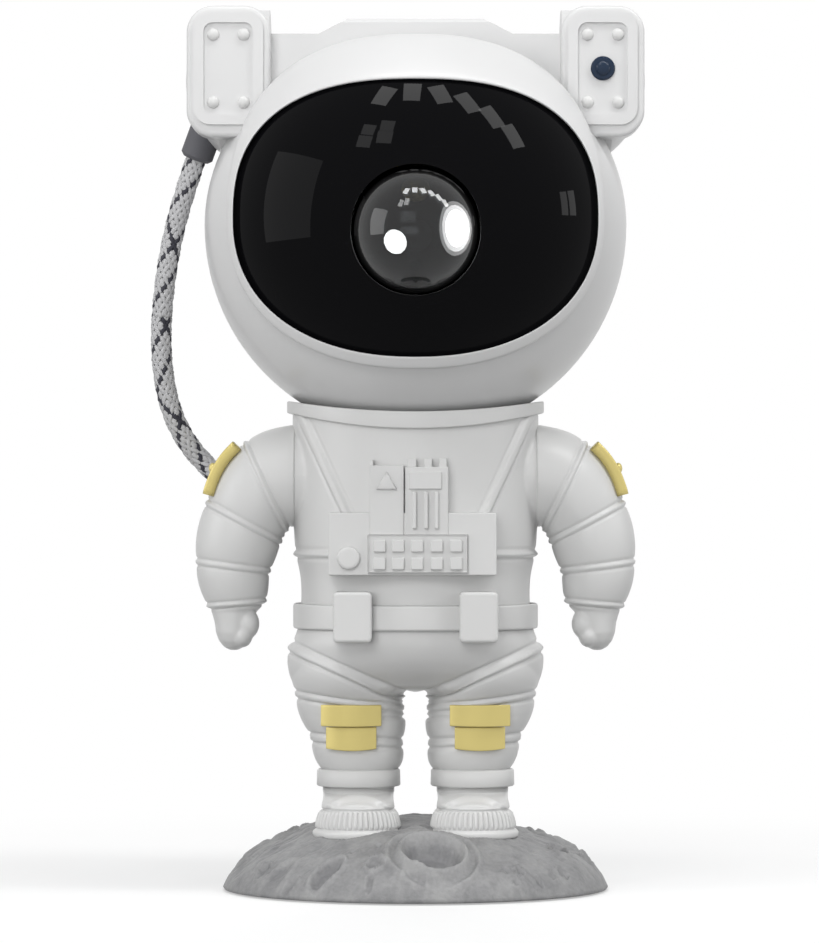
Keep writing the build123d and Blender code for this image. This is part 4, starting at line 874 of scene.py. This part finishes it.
def add_suit():
    """Torso and trousers meet under the belt."""
    mesh = bmesh.new()
    rings = [torso_ring(z) for z in steps(69.0, 120.6, 1.5)]
    top_half = (between(TORSO, 123.0, 1), between(TORSO, 123.0, 2))
    rings += [dished_top(*top_half, share) for share in (1.0, 0.97, 0.8, 0.6, 0.35, 0.1)]
    sweep_ring(mesh, rings)
    for sign in (-1, 1):
        boss = bmesh.ops.create_cone(mesh, cap_ends=True, segments=96, radius1=SHOULDER_R, radius2=SHOULDER_R,
                                     depth=SHOULDER_X)["verts"]
        bmesh.ops.rotate(mesh, verts=boss, matrix=Matrix.Rotation(math.radians(90), 3, "Y"))
        bmesh.ops.translate(mesh, verts=boss, vec=(sign * SHOULDER_X / 2, 0, SHOULDER_Z))
    dress_suit(closed_piece(mesh, "suit_torso"), 0.5, 5, torso_relief, "body_front_shell")

    mesh = bmesh.new()
    rings = [oval_ring(0.0, *half, CROTCH_Z + up) for half, up in
             (((9.0, 5.0), 0.2), ((18.0, 10.0), 0.6), ((24.6, 13.5), 1.2), ((28.0, 15.5), 2.0))]
    rings += [torso_ring(z) for z in steps(CROTCH_Z + 3.4, 71.0, 1.2)]
    sweep_ring(mesh, rings)
    for sign in (-1, 1):
        sweep_ring(mesh, [oval_ring(sign * between(LEG, z, 1), between(LEG, z, 2), between(LEG, z, 3), z)
                          for z in steps(26.0, 62.0, 1.0)])
    dress_suit(closed_piece(mesh, "suit_trousers"), 0.42, 22, trouser_relief, "body_rear_shell")

    for side, sign in (("left", -1), ("right", 1)):
        mesh = bmesh.new()
        foot, top, radius = CUFF
        profile = ((foot, 9.0), (foot, radius - 0.3), (foot + 0.3, radius), (top - 0.5, radius - 0.1),
                   (top - 0.1, radius - 0.5), (top, 9.0))
        sweep_ring(mesh, [oval_ring(sign * BOOT_X, r, r, z) for z, r in profile])
        cuff = closed_piece(mesh, side + "_ankle_cuff")
        dress(cuff, FINISHES["suit_white"])
        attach(cuff, "body")


# ---------------------------------------------------------------- arms
# outward from the middle plane, height over the shoulder, tilt in degrees, radius
ARM = ((31.2, 0.2, 0.0, 13.2), (38.8, -2.6, 25.4, 12.3), (44.6, -12.0, 62.2, 10.6),
       (47.4, -23.5, 82.6, 9.2), (46.5, -33.2, 95.0, 7.2), (46.8, -35.4, 92.0, 5.7))
ARM_SEAMS = (1, 2, 3, 4)
ARM_SIDES = 96
SLEEVE_X = 32.2                 # where the sleeve comes out of the shoulder
# height over the shoulder, half width and half depth of the fist
FIST = ((-45.3, 1.0, 1.4), (-44.5, 2.6, 3.4), (-42.9, 3.9, 5.0), (-40.7, 4.7, 5.9), (-38.1, 5.0, 6.1),
        (-35.0, 5.9, 6.2), (-31.5, 6.4, 6.4))
FIST_X = 47.2
# middle and half sizes of the thumb and the curled fingers
FINGERS = (((43.5, -2.2, -38.4), (3.0, 3.9, 3.9)), ((45.0, -2.4, -41.6), (2.7, 3.8, 3.0)))


def arm_seam(index):
    """Middle and direction of one seam's plane on the right arm."""
    outward, height, tilt = ARM[index][:3]
    tilt = math.radians(tilt)
    return Vector((outward, 0, SHOULDER_Z + height)), Vector((math.cos(tilt), 0, -math.sin(tilt)))


def arm_ring(share):
    """Ring of the sleeve at a share of the way through the sections."""
    table = [(float(index), *row) for index, row in enumerate(ARM)]
    outward, height, tilt, radius = [between(table, share, column) for column in (1, 2, 3, 4)]
    tilt = math.radians(tilt)
    up = Vector((math.sin(tilt), 0, math.cos(tilt)))
    middle = Vector((outward, 0, SHOULDER_Z + height))
    return [middle + (up * math.cos(turn) + Vector((0, 1, 0)) * math.sin(turn)) * radius
            for turn in round_turns(ARM_SIDES)]


def sleeve_relief(at, _):
    """Piped seams and puffed cloth between them."""
    at = Vector((abs(at.x), at.y, at.z))
    if at.x < SLEEVE_X or at.z < SHOULDER_Z - 35.5:
        return 0.0
    past = [(at - middle).dot(ahead) for middle, ahead in (arm_seam(index) for index in ARM_SEAMS)]
    height = sum(piping(distance, 0.62, 0.55) for distance in past)
    first = at.x - SLEEVE_X
    for before, after, full in ((first, past[0], 0.3), (past[0], past[1], 0.8), (past[1], past[2], 0.9),
                                (past[2], past[3], 0.8)):
        if before > 0 > after:
            height += puff(before / (before - after), full * min(1.0, (before - after) / 9.0))
    return height


def add_arms():
    for side, sign in (("left", -1), ("right", 1)):
        mesh = bmesh.new()
        rings = [arm_ring(share) for share in steps(0.0, len(ARM) - 1.0, 0.05)]
        sweep_ring(mesh, rings)
        sweep_ring(mesh, [oval_ring(FIST_X, half_x, half_y, SHOULDER_Z + z, 48) for z, half_x, half_y in FIST])
        for (x, y, z), half in FINGERS:
            ball = bmesh.ops.create_uvsphere(mesh, u_segments=48, v_segments=24, radius=1.0)["verts"]
            bmesh.ops.scale(mesh, vec=half, verts=ball)
            bmesh.ops.translate(mesh, vec=(x, y, SHOULDER_Z + z), verts=ball)
        bmesh.ops.scale(mesh, vec=(sign, 1, 1), verts=mesh.verts)
        arm = closed_piece(mesh, side + "_padded_arm")
        melt_together(arm, 0.36, 10)
        swell(arm, sleeve_relief)
        hand_over(arm, side + "_arm_body", side + "_arm", "suit_white")


# ---------------------------------------------------------------- chest unit
def block(mesh, low, high, round_by, dish=0.0, rim=0.0):
    """Rounded block between two corners, with an optional hollow in its front."""
    verts = bmesh.ops.create_cube(mesh, size=1.0)["verts"]
    bmesh.ops.scale(mesh, vec=Vector(high) - Vector(low), verts=verts)
    bmesh.ops.translate(mesh, vec=(Vector(high) + Vector(low)) / 2, verts=verts)
    if dish:
        faces = {face for vert in verts for face in vert.link_faces}
        front = min(faces, key=lambda face: face.calc_center_median().y)
        bmesh.ops.inset_region(mesh, faces=[front], thickness=rim)
        bmesh.ops.translate(mesh, vec=(0, dish, 0), verts=front.verts)
        verts = verts + list(front.verts)
    edges = list({edge for vert in verts for edge in vert.link_edges if edge.calc_face_angle(0) > 0.5})
    bmesh.ops.bevel(mesh, geom=edges, offset=round_by, segments=3, profile=0.5, affect="EDGES", material=-1)


def turned_disc(mesh, x, z, profile, sides):
    """Disc or prism standing out to the front, from rows of y and radius."""
    sweep_ring(mesh, [[Vector((x + radius * math.sin(turn), y, z + radius * math.cos(turn)))
                       for turn in round_turns(sides)] for y, radius in profile])


def front_piece(mesh, name, node, finish="suit_white"):
    piece = closed_piece(mesh, name)
    flats = piece.modifiers.new("flats", "WEIGHTED_NORMAL")
    flats.weight = 80
    hand_over(piece, "body", node, finish)


# low and high x, low and high z, front and back y, rounding
CHEST_PLATES = ((-22.2, 20.6, 82.2, 98.1, -29.2, -17.5, 0.30), (-11.7, -3.0, 92.0, 110.2, -29.5, -24.0, 0.25),
                (-11.8, -10.8, 108.0, 111.6, -29.2, -24.0, 0.15), (-2.65, 8.3, 92.0, 109.8, -29.7, -24.0, 0.25),
                (-2.1, 0.2, 108.0, 112.0, -29.2, -24.0, 0.2), (2.1, 4.2, 108.0, 112.0, -29.2, -24.0, 0.2),
                (6.0, 7.9, 108.0, 112.0, -29.2, -24.0, 0.2))
DISPLAY = (-1.7, 6.6, 104.1, 108.5, -30.5, -29.0, 0.25)
ROD_X = (-0.35, 2.6, 5.3)
ROD_Z = (94.1, 103.4)
KEY_TRAY = (-12.2, 13.3, 82.8, 92.6, -30.1, -28.5, 0.18)
TRAY_HOLLOW = (0.5, 0.6)         # depth and rim
KEY_X = (-9.2, -4.5, 0.35, 5.35, 10.3)
KEY_Z = (85.2, 89.7)
KEY_HALF = 1.55
KNOB = (-17.1, 86.6, ((-28.8, 2.9), (-30.2, 2.9), (-30.5, 2.6), (-30.55, 2.0)), 64)
TRIANGLE = (-7.35, 105.6, ((-29.2, 3.0), (-30.2, 3.0), (-30.6, 2.3)), 3)


def add_chest_unit():
    rods = [(x - 0.5, x + 0.5, *ROD_Z, -30.9, -29.0, 0.2) for x in ROD_X]
    keys = [(x - KEY_HALF, x + KEY_HALF, z - KEY_HALF, z + KEY_HALF, -30.7, -29.3, 0.28)
            for x in KEY_X for z in KEY_Z]
    for name, node, blocks, disc, hollow in (("chest_plates", "chest_panel", CHEST_PLATES, TRIANGLE, ()),
                                             ("raised_display", "chest_display", (DISPLAY,), (), ()),
                                             ("three_rods", "chest_rods", rods, (), ()),
                                             ("key_tray", "chest_key_strip", (KEY_TRAY,), (), TRAY_HOLLOW),
                                             ("square_keys", "chest_keys", keys, (), ()),
                                             ("round_knob", "chest_knob", (), KNOB, ())):
        mesh = bmesh.new()
        for x0, x1, z0, z1, front, back, round_by in blocks:
            block(mesh, (x0, front, z0), (x1, back, z1), round_by, *hollow)
        if disc:
            turned_disc(mesh, *disc)
        front_piece(mesh, name, node)


# ---------------------------------------------------------------- belt and collar
BELT = (31.8, 27.2, 67.9, 74.4)         # half width, half depth, foot and top
COLLAR = (33.4, 28.4)                   # half width and half depth
COLLAR_FOOT = (119.5, 4.3)              # height at the front, and how far it climbs to the sides
COLLAR_TOP = (124.0, 2.9)
# out from the edge, share of the height
BAND_SECTION = ((-3.0, 0.30), (-0.5, 0.0), (-0.15, 0.03), (0.0, 0.10), (0.0, 0.5), (0.0, 0.90), (-0.15, 0.97),
                (-0.5, 1.0), (-3.0, 0.55))


def add_belt_and_collar():
    half_x, half_y, foot, top = BELT
    mesh = bmesh.new()
    sweep_ring(mesh, [oval_ring(0.0, half_x + out, half_y + out, foot + share * (top - foot), 180)
                      for out, share in BAND_SECTION])
    front_piece(mesh, "moulded_belt", "waist_belt")
    mesh = bmesh.new()
    rings = []
    for out, share in BAND_SECTION:
        ring = oval_ring(0.0, COLLAR[0] + out, COLLAR[1] + out, 0.0, 180)
        for at in ring:
            climb = (at.x / COLLAR[0]) ** 2
            low, high = COLLAR_FOOT[0] + COLLAR_FOOT[1] * climb, COLLAR_TOP[0] + COLLAR_TOP[1] * climb
            at.z = low + share * (high - low)
        rings.append(ring)
    sweep_ring(mesh, rings, loop_back=True)
    front_piece(mesh, "neck_trim_ring", "neck_collar")


# ---------------------------------------------------------------- gold trim
# low and high |x|, low and high z, how far it stands off the leg, bow of the lower edge
KNEE_PLATES = ((8.7, 24.5, 43.0, 48.5, 2.3, 0.1), (10.0, 23.2, 37.1, 42.8, 1.9, 0.5))
KNEE_THICK = 1.5


def leg_front(side, z, off):
    """Front of the leg at a distance from the middle plane, a little outside the cloth."""
    cx, half_x, half_y = [between(LEG, z, column) for column in (1, 2, 3)]
    share = min(abs(side - cx) / (half_x + off), 0.97)
    return -(half_y + off) * math.sqrt(1 - share * share)


def add_knee_plates():
    mesh = bmesh.new()
    for sign in (-1, 1):
        for x0, x1, z0, z1, off, bow in KNEE_PLATES:
            grid = bmesh.ops.create_grid(mesh, x_segments=28, y_segments=8, size=1.0)["verts"]
            for vert in grid:
                side = x0 + (vert.co.x + 1) / 2 * (x1 - x0)
                rise = (vert.co.y + 1) / 2
                z = z0 + rise * (z1 - z0) - bow * (1 - rise) * (1 - vert.co.x ** 2)
                vert.co = (sign * side, leg_front(side, (z0 + z1) / 2, off), z)
            faces = list({face for vert in grid for face in vert.link_faces})
            bmesh.ops.recalc_face_normals(mesh, faces=faces)
            if faces[0].normal.y > 0:
                bmesh.ops.reverse_faces(mesh, faces=faces)
            bmesh.ops.solidify(mesh, geom=faces, thickness=KNEE_THICK)
    edges = [edge for edge in mesh.edges if edge.calc_face_angle(0) > 0.9]
    bmesh.ops.bevel(mesh, geom=edges, offset=0.22, segments=3, profile=0.5, affect="EDGES", material=-1)
    front_piece(mesh, "gold_knee_plates", "knee_patches", "gold_trim")


# outward from the middle plane and height of the bar's spine
PATCH_SPINE = ((46.9, 115.3), (49.5, 112.5), (51.8, 108.9), (53.4, 105.0), (54.1, 102.6))
PATCH_HALF_WIDTH = 6.6
PATCH_THICK = 1.1
# share of the width and least height at the bar's end and inwards
PATCH_ENDS = ((0.90, 0.55), (0.97, 0.55), (1.0, 0.0))
# across the bar and out from its spine
PATCH_SECTION = ((-1.0, -1.7), (-1.0, 0.7), (-0.95, 0.98), (-0.82, 1.0), (-0.72, 0.9), (-0.66, 0.35),
                 (0.66, 0.35), (0.72, 0.9), (0.82, 1.0), (0.95, 0.98), (1.0, 0.7), (1.0, -1.7))


def add_shoulder_patches():
    """Bent bars with a raised border and a nub half way, on the outside of each shoulder."""
    spine = [Vector((x, 0, z)) for x, z in PATCH_SPINE]
    line = [spine[0].lerp(spine[1], -0.12)]
    for index in range(len(spine) - 1):
        before, after = spine[max(index - 1, 0)], spine[min(index + 2, len(spine) - 1)]
        low, high = spine[index], spine[index + 1]
        for share in (0.0, 0.25, 0.5, 0.75):
            bend = share * (1 - share) / 2
            line.append(low.lerp(high, share) + bend * ((low - before) * (1 - share) - (after - high) * share))
    line.append(spine[-1])
    for side, sign in (("left", -1), ("right", 1)):
        mesh = bmesh.new()
        rings = []
        for index, at in enumerate(line):
            ahead = (line[min(index + 1, len(line) - 1)] - line[max(index - 1, 0)]).normalized()
            out = Vector((-ahead.z, 0, ahead.x))
            narrow, lift = PATCH_ENDS[min(index, len(line) - 1 - index, len(PATCH_ENDS) - 1)]
            rings.append([at + Vector((0, across * PATCH_HALF_WIDTH * narrow, 0))
                          + out * (PATCH_THICK * max(high, lift) if high > 0 else PATCH_THICK * high)
                          for across, high in PATCH_SECTION])
        sweep_ring(mesh, [[Vector((sign * at.x, at.y, at.z)) for at in ring] for ring in rings])
        middle = line[len(line) // 2]
        nub = bmesh.ops.create_uvsphere(mesh, u_segments=24, v_segments=12, radius=1.0)["verts"]
        bmesh.ops.scale(mesh, vec=(1.1, 1.5, 1.5), verts=nub)
        bmesh.ops.translate(mesh, vec=(sign * (middle.x + 0.9), 0, middle.z + 0.5), verts=nub)
        patch = closed_piece(mesh, side + "_shoulder_bar")
        hand_over(patch, side + "_arm_body", side + "_shoulder_patch", "gold_trim")


# ---------------------------------------------------------------- visor frame
FRAME_R = 57.3
VISOR_EDGE = (46.3, 34.9, 35.0, 2.6, 2.2)     # half width, up, down, fullness above and below
FRAME_EDGE = (47.9, 47.4, 38.0, 2.5, 2.2)
FRAME_SIDES = 240
# share of the way from the visor's edge outwards, height over the head's ball
FRAME_SECTION = ((0.0, -1.6), (-0.01, -0.9), (0.0, -0.45), (0.04, -0.12), (0.10, 0.0), (0.5, 0.0), (0.90, 0.0),
                 (0.96, -0.12), (1.0, -0.5), (1.0, -1.4), (0.99, -3.0), (0.5, -3.0), (0.02, -3.0))


def oval_point(turn, half, up, down, above, below):
    """Point of a rounded oval whose upper and lower halves differ."""
    c, s = math.cos(turn), math.sin(turn)
    rise, fullness = (up, above) if s >= 0 else (down, below)
    reach = (abs(c / half) ** fullness + abs(s / rise) ** fullness) ** (-1 / fullness)
    return reach * c, reach * s


def on_ball(x, z, radius):
    """Point on the front of a ball about the head's middle, seen from the front at x and z."""
    flat = Vector((x, 0, z))
    limit = radius * 0.985
    if flat.length > limit:
        flat *= limit / flat.length
    return Vector((flat.x, -math.sqrt(radius ** 2 - flat.length_squared), flat.z + HEAD_Z))


def add_visor_frame():
    """Hood and rim round the visor: one soft bead that is wide over the brow and slim below."""
    mesh = bmesh.new()
    rings = []
    for turn in round_turns(FRAME_SIDES):
        inner = Vector(oval_point(turn, *VISOR_EDGE))
        outer = Vector(oval_point(turn, *FRAME_EDGE))
        ring = []
        for share, sink in FRAME_SECTION:
            at = inner.lerp(outer, share)
            ring.append(on_ball(at.x, at.y, FRAME_R + sink))
        rings.append(ring)
    sweep_ring(mesh, rings, loop_back=True)
    hood = closed_piece(mesh, "visor_hood")
    smooth = hood.modifiers.new("round", "SUBSURF")
    smooth.levels = smooth.render_levels = 1
    hand_over(hood, "head", "visor_frame", "helmet_white")


# ---------------------------------------------------------------- the figure
def dress_nodes():
    """Every node of the frame gets its finish."""
    slots = {row["node"]: row["material_slot"] for row in frame["record"]["subparts"]}
    for name, node in NODES.items():
        dress(node, FINISHES[slots[name]])


make_camera()
make_world()
light_the_set()
make_floor()
FINISHES = make_materials()
add_hoses()
moon_base_stone()
add_boots()
add_suit()
add_arms()
add_chest_unit()
add_belt_and_collar()
add_knee_plates()
add_shoulder_patches()
add_visor_frame()
dress_nodes()
